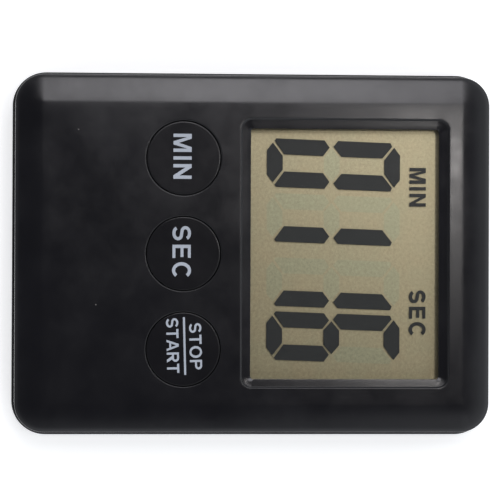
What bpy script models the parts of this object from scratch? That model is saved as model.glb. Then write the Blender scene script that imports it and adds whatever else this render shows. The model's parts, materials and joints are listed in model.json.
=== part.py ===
"""A slim kitchen timer: a battery-powered countdown timer in a black two-part case, lying on its back.

Frame: metres, +Z up and out of the display, +Y towards the top of the display, +X to its right.
The origin is the middle of the flat back face, on the surface that the timer rests on.
"""

import math

import bmesh
import bpy
from mathutils import Matrix, Vector

# ---- driving dimensions, in metres ------------------------------------------------------------
CASE_WIDTH = 0.0620
CASE_LENGTH = 0.0820
CASE_THICKNESS = 0.0100
CORNER_RADIUS = 0.0058
GAP = 0.0001
FLOOR = 0.0014
WALL = 0.0015
PAST = 0.0005  # how far a cutter reaches past the face that it cuts
SINK = 0.0003  # how far an addition sinks into what it stands on

# The two shells meet at the split. The front shell stands back from the rear shell's rim by a step.
SPLIT_Z = 0.0030
RIM_STEP = 0.00045
DRAFT_INSET = 0.00040
ROOF_Z = 0.0084
CROWN_WIDTH = 0.0044
CROWN_SLOPE_INNER = 0.070
CROWN_SLOPE_OUTER = 0.213
FACE_EDGE_RADIUS = 0.0005
FRONT_CAVITY_RADIUS = 0.0038
ROOF_CHAMFER = 0.0009
REAR_EDGE_RADIUS = 0.0010
REAR_CAVITY_RADIUS = 0.0042
REAR_WALL = 0.0016
RIM_CHAMFER = 0.00025
LIP_THICKNESS = 0.0008
LIP_HEIGHT = 0.0012
SIDE_LIP_Y = 0.030
END_LIP_X = 0.019

# The display opening. Its bezel steps in and down from the face: (inset, height) at each edge.
WINDOW_Y = 0.01545
WINDOW_FACE_HALF = (0.02280, 0.01775)
WINDOW_FACE_RADIUS = 0.0020
BEZEL_STEPS = ((0.0, CASE_THICKNESS), (0.00035, 0.00945), (0.00150, 0.00928), (0.00165, 0.00905))

# The display's glass sandwich hangs under the roof, and the board lies behind it.
GLASS_HALF_WIDTH = 0.0236
GLASS_TOP_Y = 0.0336
FRONT_GLASS_BOTTOM_Y = -0.0034
REAR_GLASS_BOTTOM_Y = -0.0018
POLARIZER_HALF = (0.0223, 0.0171)
FRONT_POLARIZER_Z = (0.00817, 0.00835)
FRONT_GLASS_Z = (0.00742, 0.00812)
REAR_GLASS_Z = (0.00670, 0.00737)
REFLECTOR_Z = (0.00647, 0.00665)
BOARD_Z = (0.0051, 0.0059)
BOARD_HALF_WIDTH = 0.0284
BOARD_Y = (-0.0205, 0.0335)
CONTACT_GAP = 0.00005  # between pieces that touch on the real object
DISPLAY_RIB_BOTTOM_Z = 0.0064
ZEBRA_HALF_WIDTH = 0.0210
ZEBRA_Y = (-0.0033, -0.0020)
FOAM_HALF_WIDTH = 0.0200
FOAM_Y = (0.0250, 0.0300)

# Three round buttons in a row under the display.
BUTTON_NAMES = ("min", "sec", "start_stop")
BUTTON_PITCH = 0.0161
BUTTON_Y = -0.0118
BUTTON_RADIUS = 0.00618
BUTTON_HOLE_RADIUS = 0.00636
BUTTON_TOP_Z = 0.00988
BUTTON_EDGE = 0.00018
FLANGE_RADIUS = 0.0068
FLANGE_Z = (0.0077, 0.0083)
POST_RADIUS = 0.0018
POST_BOTTOM_Z = 0.0074
SKIRT_BORE_RADIUS = 0.0052
SKIRT_TOP_Z = 0.0087
KEY_HALF = 0.0006
NOTCH_HALF = 0.0008
PILL_RADIUS = 0.0015
PILL_Z = (0.00645, 0.00670)
MAT_HALF = (0.0245, 0.0072)
MAT_RADIUS = 0.0020
MAT_Z = (0.00595, 0.00660)

# Fasteners. Each screw is (head radius, (head's low and high face), shank radius, tip height).
CASE_SCREW = (0.0019, (0.0002, 0.00115), 0.00095, 0.0070)
BOARD_SCREW = (0.0015, (0.0043, 0.00505), 0.00070, 0.0076)
SCREW_SIDES = 14
HOLE_SIDES = 12
DISC_SIDES = 32
CASE_PILOT = (0.00105, 0.0028, 0.0076)
BOARD_PILOT = (0.0008, 0.0057, 0.0080)
CASE_BOSS_RADIUS = 0.0023
BOARD_BOSS = (0.0017, 0.00595)
BOARD_HOLE_RADIUS = 0.0009
STANDOFF = (0.0029, 0.0029)
COUNTERBORE = (0.0021, 0.0012)
SCREW_HOLE = (0.0012, 0.0035)
CASE_SCREW_X = 0.0255
CASE_SCREW_Y = 0.0360
BOARD_SCREW_X = 0.0266
BOARD_SCREW_Y = (0.0295, -0.0026, -0.0180)

# The folding stand lies in a pocket in the back and turns about two stub pins.
STAND_HALF_WIDTH = 0.0139
STAND_HINGE_Y = -0.0145
STAND_TIP_Y = 0.0172
STAND_Z = (0.00015, 0.00175)
HINGE_Z = 0.00095
HINGE_PIN = (0.0149, 0.00060)
HINGE_HOLE = (0.01505, 0.00072)
POCKET_Z = 0.0020
POCKET_ROOF = 0.0012
POCKET_LOW_Y = -0.0158
POCKET_CLEARANCE = 0.0003
POCKET_BOX = ((-0.0156, -0.0170), (0.0156, 0.0189))
NOTCH_RADIUS = 0.0042
NOTCH_Z = 0.0015
STAND_GRIP_Y = (0.0110, 0.0125, 0.0140)
STAND_GRIP_HALF = 0.0050
GRIP_HALF_WIDTH = 0.0003
GRIP_DEPTH = 0.0004

# The battery door slides off over the bottom edge, and a button cell stands over it in a cup.
BATTERY_Y = -0.0300
BATTERY_RADIUS = 0.0058
BATTERY_Z = (0.00165, 0.00705)
CUP_BORE_RADIUS = 0.00595
CUP_RADIUS = 0.0070
CUP_BORE_Z = (0.0010, 0.0075)
CUP_Z = (0.0020, 0.0083)
DOOR_HALF_WIDTH = 0.00855
DOOR_TONGUE = 0.00085
DOOR_Y = (-0.0409, -0.0225)
DOOR_Z = (0.00012, 0.00145)
DOOR_CLEARANCE = 0.00015
DOOR_CHAMFER = 0.0009
DOOR_FRAME = ((-0.0110, -0.0398), (0.0110, -0.0213), 0.0026)
DOOR_GRIP_Y = (-0.0330, -0.0345, -0.0360, -0.0375)
DOOR_GRIP_HALF = 0.0045
TONGUE_Z = 0.00085
TONGUE_SETBACK = 0.0016
CONTACT_THICKNESS = 0.0003
CONTACT_WIDTH = 0.0032
CONTACT_X = 0.0024
CONTACT_END_Y = -0.0175

# Sounder and magnets share a row across the top of the back.
BACK_ROW_Y = 0.0295
PIEZO_RADIUS = 0.0075
PIEZO_Z = (0.00245, 0.00265)
CERAMIC_RADIUS = 0.0052
CERAMIC_THICKNESS = 0.0002
SOUND_HOLE_RADIUS = 0.00065
SOUND_HOLE_RING = 0.003
WIRE_RADIUS = 0.0004
MAGNET_X = 0.0175
MAGNET_RADIUS = 0.0060
MAGNET_Z = (0.00005, 0.00175)
MAGNET_CHAMFER = 0.0002
MAGNET_BOSS = (0.0012, 0.0028)

CORNER_STEPS = 6
ROUND_SIDES = 48
SMALL_SIDES = 20
SHARP_ANGLE = math.radians(35)


# ---- materials --------------------------------------------------------------------------------
def material(name, colour, roughness, metallic=0.0):
    made = bpy.data.materials.new(name)
    made.use_nodes = True
    shader = made.node_tree.nodes["Principled BSDF"]
    shader.inputs["Base Color"].default_value = (*colour, 1.0)
    shader.inputs["Roughness"].default_value = roughness
    shader.inputs["Metallic"].default_value = metallic
    made.diffuse_color = (*colour, 1.0)
    return made


def make_materials():
    return {
        "black_plastic": material("black_plastic", (0.016, 0.016, 0.018), 0.35),
        "button_plastic": material("button_plastic", (0.013, 0.013, 0.014), 0.40),
        "display_film": material("display_film", (0.38, 0.33, 0.22), 0.45),
        "display_glass": material("display_glass", (0.75, 0.80, 0.78), 0.05),
        "reflector_film": material("reflector_film", (0.42, 0.36, 0.24), 0.35, 0.3),
        "grey_foam": material("grey_foam", (0.12, 0.12, 0.12), 0.90),
        "connector_rubber": material("connector_rubber", (0.55, 0.30, 0.33), 0.60),
        "keypad_rubber": material("keypad_rubber", (0.60, 0.60, 0.58), 0.60),
        "carbon": material("carbon", (0.02, 0.02, 0.02), 0.80),
        "board_laminate": material("board_laminate", (0.05, 0.22, 0.09), 0.45),
        "epoxy": material("epoxy", (0.015, 0.015, 0.015), 0.30),
        "component": material("component", (0.30, 0.24, 0.18), 0.50),
        "steel": material("steel", (0.55, 0.55, 0.56), 0.30, 1.0),
        "nickel": material("nickel", (0.60, 0.59, 0.57), 0.22, 1.0),
        "brass": material("brass", (0.70, 0.52, 0.22), 0.30, 1.0),
        "ceramic": material("ceramic", (0.75, 0.74, 0.70), 0.50),
        "red_insulation": material("red_insulation", (0.60, 0.03, 0.03), 0.45),
        "black_insulation": material("black_insulation", (0.02, 0.02, 0.02), 0.45),
    }


# ---- outlines ---------------------------------------------------------------------------------
def rounded_rectangle(half, radius, centre=(0.0, 0.0), steps=CORNER_STEPS):
    """Counter-clockwise points of a rectangle with round corners."""
    corners = ((1, 1, 0), (-1, 1, 90), (-1, -1, 180), (1, -1, 270))
    points = []
    for sign_x, sign_y, start in corners:
        corner_x = centre[0] + sign_x * (half[0] - radius)
        corner_y = centre[1] + sign_y * (half[1] - radius)
        for step in range(steps + 1):
            angle = math.radians(start + 90 * step / steps)
            points.append((corner_x + radius * math.cos(angle), corner_y + radius * math.sin(angle)))
    return points


def inset_case_outline(inset):
    """The case's outline, moved inwards."""
    half = (CASE_WIDTH / 2 - inset, CASE_LENGTH / 2 - inset)
    return rounded_rectangle(half, CORNER_RADIUS - inset)


def circle(radius, centre=(0.0, 0.0), sides=ROUND_SIDES):
    turn = 2 * math.pi / sides
    return [
        (centre[0] + radius * math.cos(i * turn), centre[1] + radius * math.sin(i * turn))
        for i in range(sides)
    ]


def at_height(outline, z):
    return [Vector((x, y, z)) for x, y in outline]


def crown_height(inset):
    """Height of the face at a distance in from its edge: flat in the middle, and falling ever more steeply
    across the border."""
    if inset >= CROWN_WIDTH:
        return CASE_THICKNESS
    across = CROWN_WIDTH - inset
    steepening = (CROWN_SLOPE_OUTER - CROWN_SLOPE_INNER) / CROWN_WIDTH
    return CASE_THICKNESS - across * (CROWN_SLOPE_INNER + steepening * across / 2)


# ---- solids -----------------------------------------------------------------------------------
def add_object(name, mesh, helper=False):
    mesh.shade_smooth()
    mesh.set_sharp_from_angle(angle=SHARP_ANGLE)
    made = bpy.data.objects.new(name, mesh)
    bpy.context.scene.collection.objects.link(made)
    if helper:
        made.hide_render = True
        made.display_type = "WIRE"
    return made


def loft(name, rings, helper=False, closed=False):
    """A solid through rings of equal length, capped at its first and last ring or joined into a hoop."""
    solid = bmesh.new()
    rows = [[solid.verts.new(point) for point in ring] for ring in rings]
    pairs = list(zip(rows, rows[1:]))
    if closed:
        pairs.append((rows[-1], rows[0]))
    for lower, upper in pairs:
        for i in range(len(lower)):
            j = (i + 1) % len(lower)
            solid.faces.new((lower[i], lower[j], upper[j], upper[i]))
    if not closed:
        solid.faces.new(reversed(rows[0]))
        solid.faces.new(rows[-1])
    mesh = bpy.data.meshes.new(name)
    solid.to_mesh(mesh)
    solid.free()
    return add_object(name, mesh, helper)


def prism(name, outline, low, high, helper=False):
    return loft(name, [at_height(outline, low), at_height(outline, high)], helper)


def box(name, low, high, helper=False):
    outline = [(low[0], low[1]), (high[0], low[1]), (high[0], high[1]), (low[0], high[1])]
    return prism(name, outline, low[2], high[2], helper)


def cylinder(name, centre, radius, low, high, sides=SMALL_SIDES, helper=False):
    return prism(name, circle(radius, centre, sides), low, high, helper)


def turned(name, centre, profile, sides=ROUND_SIDES, helper=False):
    """A solid of revolution about a vertical axis. The profile is (radius, height) points, from the middle of
    its underside round to the middle of its top."""
    rings = [at_height(circle(radius, centre, sides), z) for radius, z in profile]
    return loft(name, rings, helper)


def hoop(name, outer, inner, low, high, helper=False):
    """An upright wall that follows two outlines of equal length."""
    rings = [at_height(inner, low), at_height(outer, low), at_height(outer, high), at_height(inner, high)]
    return loft(name, rings, helper, closed=True)


def cross_bar(name, half_length, y, z, radius, sides=SMALL_SIDES, helper=False):
    """A round bar along X."""
    made = cylinder(name, (0.0, 0.0), radius, -half_length, half_length, sides, helper)
    made.data.transform(Matrix.Translation((0, y, z)) @ Matrix.Rotation(math.pi / 2, 4, "Y"))
    return made


def strip(name, x, route, material_used):
    """A flat metal strip bent along a route of (y, z) points at its middle plane, square at each bend."""
    half = CONTACT_THICKNESS / 2
    near, far = [], []
    for i, point in enumerate(route):
        here = Vector(point)
        before = (here - Vector(route[i - 1])).normalized() if i else None
        after = (Vector(route[i + 1]) - here).normalized() if i + 1 < len(route) else None
        sides = [Vector((-way.y, way.x)) for way in (before, after) if way]
        offset = sum(sides, Vector((0.0, 0.0))) * half
        near.append(here + offset)
        far.append(here - offset)
    outline = near + far[::-1]
    rings = [[Vector((x + side * CONTACT_WIDTH / 2, p.x, p.y)) for p in outline] for side in (1, -1)]
    made = loft(name, rings)
    made.data.materials.append(material_used)
    return made


def boolean(target, others, operation):
    for other in others:
        modifier = target.modifiers.new(other.name, "BOOLEAN")
        modifier.operation = operation
        modifier.solver = "EXACT"
        modifier.object = other


def fuse(target, *additions):
    boolean(target, additions, "UNION")


def carve(target, *cutters):
    boolean(target, cutters, "DIFFERENCE")


def paint(made, material_used):
    made.data.materials.append(material_used)
    return made


def pivot_at(made, point):
    """Put an object's origin on its joint's axis and leave its shape where it is."""
    made.data.transform(Matrix.Translation(-Vector(point)))
    made.location = point


# ---- the front shell --------------------------------------------------------------------------
def front_shell_rings():
    """Rings of the front shell's outside, from the split up the drafted wall, round the edge and over the
    crowned border."""
    foot_inset = RIM_STEP
    face_inset = RIM_STEP + DRAFT_INSET
    edge_z = crown_height(0.0)
    rings = [
        at_height(inset_case_outline(foot_inset), SPLIT_Z + GAP),
        at_height(inset_case_outline(face_inset), edge_z - FACE_EDGE_RADIUS),
    ]
    for angle in (30, 60):
        turn = math.radians(angle)
        inset = face_inset + FACE_EDGE_RADIUS * (1 - math.cos(turn))
        rings.append(
            at_height(inset_case_outline(inset), edge_z - FACE_EDGE_RADIUS * (1 - math.sin(turn)) - GAP)
        )
    for share in (0.12, 0.4, 0.7, 1.0):
        inset = share * CROWN_WIDTH
        rings.append(at_height(inset_case_outline(face_inset + inset), crown_height(inset)))
    return rings


def window_outline(inset):
    half = (WINDOW_FACE_HALF[0] - inset, WINDOW_FACE_HALF[1] - inset)
    radius = max(WINDOW_FACE_RADIUS - inset, 0.0003)
    return rounded_rectangle(half, radius, (0.0, WINDOW_Y))


def window_cutter():
    """The display opening: straight up to the lip, then out along the bezel's steps and past the face."""
    innermost, outermost = BEZEL_STEPS[-1][0], BEZEL_STEPS[0][0]
    rings = [at_height(window_outline(innermost), ROOF_Z - PAST)]
    rings += [at_height(window_outline(inset), z) for inset, z in reversed(BEZEL_STEPS)]
    rings.append(at_height(window_outline(outermost), CASE_THICKNESS + PAST))
    return loft("cut_window", rings, helper=True)


def display_rib():
    """A rib round the glass sandwich that places it under the window."""
    clearance, thickness = 0.0002, 0.0007
    half_y = (GLASS_TOP_Y - FRONT_GLASS_BOTTOM_Y) / 2
    centre = (0.0, (GLASS_TOP_Y + FRONT_GLASS_BOTTOM_Y) / 2)
    inner = (GLASS_HALF_WIDTH + clearance, half_y + clearance)
    outer = (inner[0] + thickness, inner[1] + thickness)
    return hoop(
        "add_display_rib",
        rounded_rectangle(outer, 0.0006, centre, 2),
        rounded_rectangle(inner, 0.0001, centre, 2),
        DISPLAY_RIB_BOTTOM_Z,
        ROOF_Z + SINK,
        helper=True,
    )


def case_screw_places():
    return [(x, y) for y in (CASE_SCREW_Y, -CASE_SCREW_Y) for x in (-CASE_SCREW_X, CASE_SCREW_X)]


def board_screw_places():
    return [(x, y) for y in BOARD_SCREW_Y for x in (-BOARD_SCREW_X, BOARD_SCREW_X)]


def button_places():
    return [((i - 1) * BUTTON_PITCH, BUTTON_Y) for i in range(len(BUTTON_NAMES))]


def front_case(materials):
    shell = paint(loft("front_case", front_shell_rings()), materials["black_plastic"])
    cavity_half = (CASE_WIDTH / 2 - RIM_STEP - WALL, CASE_LENGTH / 2 - RIM_STEP - WALL)
    roof_half = (cavity_half[0] - ROOF_CHAMFER, cavity_half[1] - ROOF_CHAMFER)
    cavity = loft(
        "cut_front_cavity",
        [
            at_height(rounded_rectangle(cavity_half, FRONT_CAVITY_RADIUS), SPLIT_Z - PAST),
            at_height(rounded_rectangle(cavity_half, FRONT_CAVITY_RADIUS), ROOF_Z - ROOF_CHAMFER),
            at_height(rounded_rectangle(roof_half, FRONT_CAVITY_RADIUS - ROOF_CHAMFER), ROOF_Z),
        ],
        helper=True,
    )
    carve(shell, cavity)
    into_roof = ROOF_Z + SINK
    additions = [display_rib()]
    for i, place in enumerate(case_screw_places()):
        additions.append(
            cylinder(f"add_case_boss_{i}", place, CASE_BOSS_RADIUS, SPLIT_Z + GAP, into_roof, helper=True)
        )
    for i, place in enumerate(board_screw_places()):
        additions.append(cylinder(f"add_board_boss_{i}", place, *BOARD_BOSS, into_roof, helper=True))
    for i, (x, y) in enumerate(button_places()):
        key_y = y - FLANGE_RADIUS
        low = (x - KEY_HALF, key_y - KEY_HALF, POST_BOTTOM_Z)
        high = (x + KEY_HALF, key_y + KEY_HALF / 2, into_roof)
        additions.append(box(f"add_key_{i}", low, high, helper=True))
    fuse(shell, *additions)
    cutters = [window_cutter()]
    hole = (BUTTON_HOLE_RADIUS, ROOF_Z - PAST, CASE_THICKNESS + PAST)
    for i, place in enumerate(button_places()):
        cutters.append(cylinder(f"cut_button_{i}", place, *hole, ROUND_SIDES, helper=True))
    for i, place in enumerate(case_screw_places()):
        cutters.append(cylinder(f"cut_case_pilot_{i}", place, *CASE_PILOT, HOLE_SIDES, helper=True))
    for i, place in enumerate(board_screw_places()):
        cutters.append(cylinder(f"cut_board_pilot_{i}", place, *BOARD_PILOT, HOLE_SIDES, helper=True))
    carve(shell, *cutters)
    return shell


# ---- the rear shell ---------------------------------------------------------------------------
def rear_shell_rings():
    rings = []
    for angle in (0, 30, 60, 90):
        turn = math.radians(angle)
        inset = REAR_EDGE_RADIUS * (1 - math.sin(turn))
        rings.append(at_height(inset_case_outline(inset), REAR_EDGE_RADIUS * (1 - math.cos(turn))))
    rings.append(at_height(inset_case_outline(0.0), SPLIT_Z - RIM_CHAMFER))
    rings.append(at_height(inset_case_outline(RIM_CHAMFER), SPLIT_Z))
    return rings


def rear_case_additions():
    """What stands up from the inside of the rear shell's floor."""
    inside = FLOOR - SINK
    pocket_top = POCKET_Z + POCKET_ROOF
    frame_low, frame_high, frame_top = DOOR_FRAME
    made = [
        box("add_stand_pocket", (*POCKET_BOX[0], inside), (*POCKET_BOX[1], pocket_top), helper=True),
        box("add_door_frame", (*frame_low, inside), (*frame_high, frame_top), helper=True),
        cylinder("add_cup", (0.0, BATTERY_Y), CUP_RADIUS, *CUP_Z, ROUND_SIDES, helper=True),
        hoop(
            "add_piezo_seat",
            circle(PIEZO_RADIUS + 0.0004, (0.0, BACK_ROW_Y), DISC_SIDES),
            circle(PIEZO_RADIUS - 0.0009, (0.0, BACK_ROW_Y), DISC_SIDES),
            inside,
            PIEZO_Z[0] - CONTACT_GAP,
            helper=True,
        ),
    ]
    wall, boss_top = MAGNET_BOSS
    boss = (MAGNET_RADIUS + wall, inside, boss_top)
    for name, place in magnet_places().items():
        made.append(cylinder(f"add_{name}_boss", place, *boss, DISC_SIDES, helper=True))
    radius, top = STANDOFF
    for i, place in enumerate(case_screw_places()):
        made.append(cylinder(f"add_standoff_{i}", place, radius, inside, top, helper=True))
    return made + rear_case_lips(inside)


def rear_case_lips(inside):
    """Four straight tongues on the rim that stand inside the front shell's walls."""
    inset = RIM_STEP + WALL + DOOR_CLEARANCE
    lip_x, lip_y = CASE_WIDTH / 2 - inset, CASE_LENGTH / 2 - inset
    top = SPLIT_Z + LIP_HEIGHT
    made = []
    for name, side in (("low", -1), ("high", 1)):
        across = sorted((side * lip_x, side * (lip_x - LIP_THICKNESS)))
        along = sorted((side * lip_y, side * (lip_y - LIP_THICKNESS)))
        low, high = (across[0], -SIDE_LIP_Y, inside), (across[1], SIDE_LIP_Y, top)
        made.append(box(f"add_side_lip_{name}", low, high, helper=True))
        low, high = (-END_LIP_X, along[0], inside), (END_LIP_X, along[1], top)
        made.append(box(f"add_end_lip_{name}", low, high, helper=True))
    return made


def stand_pocket_cutters():
    high_y, half_width = STAND_TIP_Y + POCKET_CLEARANCE, STAND_HALF_WIDTH + POCKET_CLEARANCE
    centre = (0.0, (POCKET_LOW_Y + high_y) / 2)
    outline = rounded_rectangle((half_width, (high_y - POCKET_LOW_Y) / 2), 0.0006, centre, 3)
    notch = (0.0, high_y - 0.0028)
    return [
        prism("cut_stand_pocket", outline, -PAST, POCKET_Z, helper=True),
        cylinder("cut_finger_notch", notch, NOTCH_RADIUS, -PAST, NOTCH_Z, DISC_SIDES, helper=True),
        cross_bar("cut_hinge_holes", HINGE_HOLE[0], STAND_HINGE_Y, HINGE_Z, HINGE_HOLE[1], helper=True),
    ]


def battery_cutters():
    """The door's slot, the grooves for its tongues, the cup's bore and a slot for each contact."""
    side = DOOR_HALF_WIDTH + DOOR_CLEARANCE
    groove = side + DOOR_TONGUE
    end_y = DOOR_Y[1] + DOOR_CLEARANCE
    past_y = -CASE_LENGTH / 2 - PAST
    low_z, top = TONGUE_Z - DOOR_CLEARANCE, DOOR_Z[1] + DOOR_CLEARANCE
    cutters = [
        box("cut_door", (-side, past_y, -PAST), (side, end_y, top), helper=True),
        box("cut_door_grooves", (-groove, past_y, low_z), (groove, end_y, top), helper=True),
        cylinder("cut_cup_bore", (0.0, BATTERY_Y), CUP_BORE_RADIUS, *CUP_BORE_Z, ROUND_SIDES, helper=True),
    ]
    half = CONTACT_WIDTH / 2 + 0.0002
    slot_y = (BATTERY_Y + 0.0040, BATTERY_Y + CUP_RADIUS + 0.0005)
    for name, x, (low_z, high_z) in (
        ("positive", -CONTACT_X, (0.0028, 0.0054)),
        ("negative", CONTACT_X, (0.0069, 0.0076)),
    ):
        low, high = (x - half, slot_y[0], low_z), (x + half, slot_y[1], high_z)
        cutters.append(box(f"cut_{name}_slot", low, high, helper=True))
    return cutters


def magnet_places():
    return {"magnet_left": (-MAGNET_X, BACK_ROW_Y), "magnet_right": (MAGNET_X, BACK_ROW_Y)}


def sound_hole_places():
    return [(0.0, BACK_ROW_Y), *circle(SOUND_HOLE_RING, (0.0, BACK_ROW_Y), 6)]


def rear_case(materials):
    shell = paint(loft("rear_case", rear_shell_rings()), materials["black_plastic"])
    cavity_half = (CASE_WIDTH / 2 - REAR_WALL, CASE_LENGTH / 2 - REAR_WALL)
    cavity_outline = rounded_rectangle(cavity_half, REAR_CAVITY_RADIUS)
    cavity = prism("cut_rear_cavity", cavity_outline, FLOOR, SPLIT_Z + PAST, helper=True)
    carve(shell, cavity)
    fuse(shell, *rear_case_additions())
    cutters = stand_pocket_cutters() + battery_cutters()
    for i, place in enumerate(case_screw_places()):
        radius, top = COUNTERBORE
        cutters.append(cylinder(f"cut_counterbore_{i}", place, radius, -PAST, top, helper=True))
        radius, top = SCREW_HOLE
        cutters.append(cylinder(f"cut_screw_hole_{i}", place, radius, -PAST, top, HOLE_SIDES, helper=True))
    hole = (MAGNET_RADIUS + 0.00012, -PAST, MAGNET_Z[1] + CONTACT_GAP)
    for name, place in magnet_places().items():
        cutters.append(cylinder(f"cut_{name}", place, *hole, DISC_SIDES, helper=True))
    hole = (SOUND_HOLE_RADIUS, -PAST, FLOOR + 0.0006)
    for i, place in enumerate(sound_hole_places()):
        cutters.append(cylinder(f"cut_sound_hole_{i}", place, *hole, HOLE_SIDES, helper=True))
    carve(shell, *cutters)
    return shell


# ---- the display ------------------------------------------------------------------------------
def display(materials):
    films = rounded_rectangle(POLARIZER_HALF, 0.0004, (0.0, WINDOW_Y), 2)
    paint(prism("lcd_front_polarizer", films, *FRONT_POLARIZER_Z), materials["display_film"])
    paint(prism("lcd_reflector", films, *REFLECTOR_Z), materials["reflector_film"])
    for name, bottom_y, span in (
        ("lcd_front_glass", FRONT_GLASS_BOTTOM_Y, FRONT_GLASS_Z),
        ("lcd_rear_glass", REAR_GLASS_BOTTOM_Y, REAR_GLASS_Z),
    ):
        glass = box(name, (-GLASS_HALF_WIDTH, bottom_y, span[0]), (GLASS_HALF_WIDTH, GLASS_TOP_Y, span[1]))
        paint(glass, materials["display_glass"])
    on_board = BOARD_Z[1] + CONTACT_GAP
    for name, half_width, (low_y, high_y), above, finish in (
        ("zebra_connector", ZEBRA_HALF_WIDTH, ZEBRA_Y, FRONT_GLASS_Z[0], "connector_rubber"),
        ("lcd_foam_pad", FOAM_HALF_WIDTH, FOAM_Y, REFLECTOR_Z[0], "grey_foam"),
    ):
        bar = box(name, (-half_width, low_y, on_board), (half_width, high_y, above - CONTACT_GAP))
        paint(bar, materials[finish])


# ---- buttons ----------------------------------------------------------------------------------
def button(name, place, materials):
    """A key cap with a flange that holds it in the case, a post that pushes the keypad and a notch that
    keeps its lettering level."""
    profile = [
        (POST_RADIUS, POST_BOTTOM_Z),
        (POST_RADIUS, SKIRT_TOP_Z),
        (SKIRT_BORE_RADIUS, SKIRT_TOP_Z),
        (SKIRT_BORE_RADIUS, FLANGE_Z[0]),
        (FLANGE_RADIUS, FLANGE_Z[0]),
        (FLANGE_RADIUS, FLANGE_Z[1]),
        (BUTTON_RADIUS, FLANGE_Z[1]),
        (BUTTON_RADIUS, BUTTON_TOP_Z - BUTTON_EDGE),
        (BUTTON_RADIUS - BUTTON_EDGE, BUTTON_TOP_Z),
    ]
    cap = paint(turned(f"{name}_button", place, profile), materials["button_plastic"])
    notch_y = place[1] - FLANGE_RADIUS
    notch = box(
        f"cut_{name}_notch",
        (place[0] - NOTCH_HALF, notch_y - PAST, FLANGE_Z[0] - 0.0002),
        (place[0] + NOTCH_HALF, notch_y + PAST, FLANGE_Z[1] + GAP),
        helper=True,
    )
    carve(cap, notch)
    pill = cylinder(f"{name}_carbon_pill", place, PILL_RADIUS, *PILL_Z)
    paint(pill, materials["carbon"])
    for piece in (cap, pill):
        pivot_at(piece, (*place, BOARD_Z[1]))


def keypad_mat(materials):
    """One rubber sheet with a collapsing dome under each button."""
    outline = rounded_rectangle(MAT_HALF, MAT_RADIUS, (0.0, BUTTON_Y - GAP), 3)
    mat = paint(prism("keypad_mat", outline, *MAT_Z), materials["keypad_rubber"])
    dome = [(0.0046, MAT_Z[1] - SINK), (0.0046, MAT_Z[1]), (0.0024, 0.00715), (0.0024, 0.00735)]
    hollow = [(0.0040, 0.0056), (0.0040, 0.0062), (0.0022, 0.00675)]
    domes, hollows = [], []
    for i, place in enumerate(button_places()):
        domes.append(turned(f"add_dome_{i}", place, dome, 24, helper=True))
        hollows.append(turned(f"cut_dome_{i}", place, hollow, 24, helper=True))
    fuse(mat, *domes)
    carve(mat, *hollows)


# ---- the board and what it carries ------------------------------------------------------------
def main_board(materials):
    half_y = (BOARD_Y[1] - BOARD_Y[0]) / 2
    outline = rounded_rectangle((BOARD_HALF_WIDTH, half_y), 0.0010, (0.0, sum(BOARD_Y) / 2), 3)
    board = paint(prism("main_board", outline, *BOARD_Z), materials["board_laminate"])
    hole = (BOARD_HOLE_RADIUS, BOARD_Z[0] - PAST, BOARD_Z[1] + PAST)
    holes = [
        cylinder(f"cut_board_hole_{i}", place, *hole, HOLE_SIDES, helper=True)
        for i, place in enumerate(board_screw_places())
    ]
    carve(board, *holes)


def board_parts(materials):
    """Parts soldered or glued to the back of the board. Each hangs a hair under it."""
    under = BOARD_Z[0] - CONTACT_GAP
    blob = [(0.0022, 0.00390), (0.0036, 0.00412), (0.0046, 0.00450), (0.0050, under)]
    paint(turned("chip_blob", (-0.0060, -0.0080), blob, 24), materials["epoxy"])
    flange, core = 0.0026, 0.0019
    coil = [(flange, 0.0021), (flange, 0.0027), (core, 0.0028), (core, 0.0043), (flange, 0.0044)]
    coil.append((flange, under))
    paint(turned("boost_coil", (-0.0205, 0.0100), coil, 24), materials["epoxy"])
    crystal = cylinder("quartz_crystal", (0.0, 0.0), 0.0010, -0.0030, 0.0030, 16)
    lying = Matrix.Rotation(math.pi / 2, 4, "X")
    crystal.data.transform(Matrix.Translation((0.0195, 0.0050, 0.00395)) @ lying)
    paint(crystal, materials["nickel"])
    blocks = (
        ("driver_transistor", (0.0190, 0.0140), (0.00145, 0.00065, 0.0010), "epoxy"),
        ("chip_capacitor_1", (-0.0190, 0.0020), (0.0010, 0.0006, 0.0008), "component"),
        ("chip_capacitor_2", (0.0130, -0.0150), (0.0010, 0.0006, 0.0008), "component"),
        ("chip_resistor", (-0.0190, -0.0020), (0.0010, 0.0006, 0.0005), "epoxy"),
    )
    for name, (x, y), (half_x, half_y, height), finish in blocks:
        block = box(name, (x - half_x, y - half_y, under - height), (x + half_x, y + half_y, under))
        paint(block, materials[finish])


# ---- the sounder ------------------------------------------------------------------------------
def smooth_route(points, samples):
    """Points on a Catmull-Rom curve through the route's own points."""
    route = [Vector(point) for point in points]
    padded = [2 * route[0] - route[1], *route, 2 * route[-1] - route[-2]]
    found = []
    for i in range(len(route) - 1):
        a, b, c, d = padded[i : i + 4]
        for step in range(samples):
            t = step / samples
            square, cube = 2 * a - 5 * b + 4 * c - d, 3 * b - a - 3 * c + d
            found.append((2 * b + (c - a) * t + square * t**2 + cube * t**3) / 2)
    return [*found, route[-1]]


def wire(name, points, material_used):
    curve = bpy.data.curves.new(name, "CURVE")
    curve.dimensions = "3D"
    curve.bevel_depth = WIRE_RADIUS
    curve.bevel_resolution = 2
    curve.use_fill_caps = True
    route = smooth_route(points, 3)
    spline = curve.splines.new("POLY")
    spline.points.add(len(route) - 1)
    for spot, place in zip(spline.points, route):
        spot.co = (*place, 1.0)
    curve.materials.append(material_used)
    bpy.context.scene.collection.objects.link(bpy.data.objects.new(name, curve))


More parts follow.
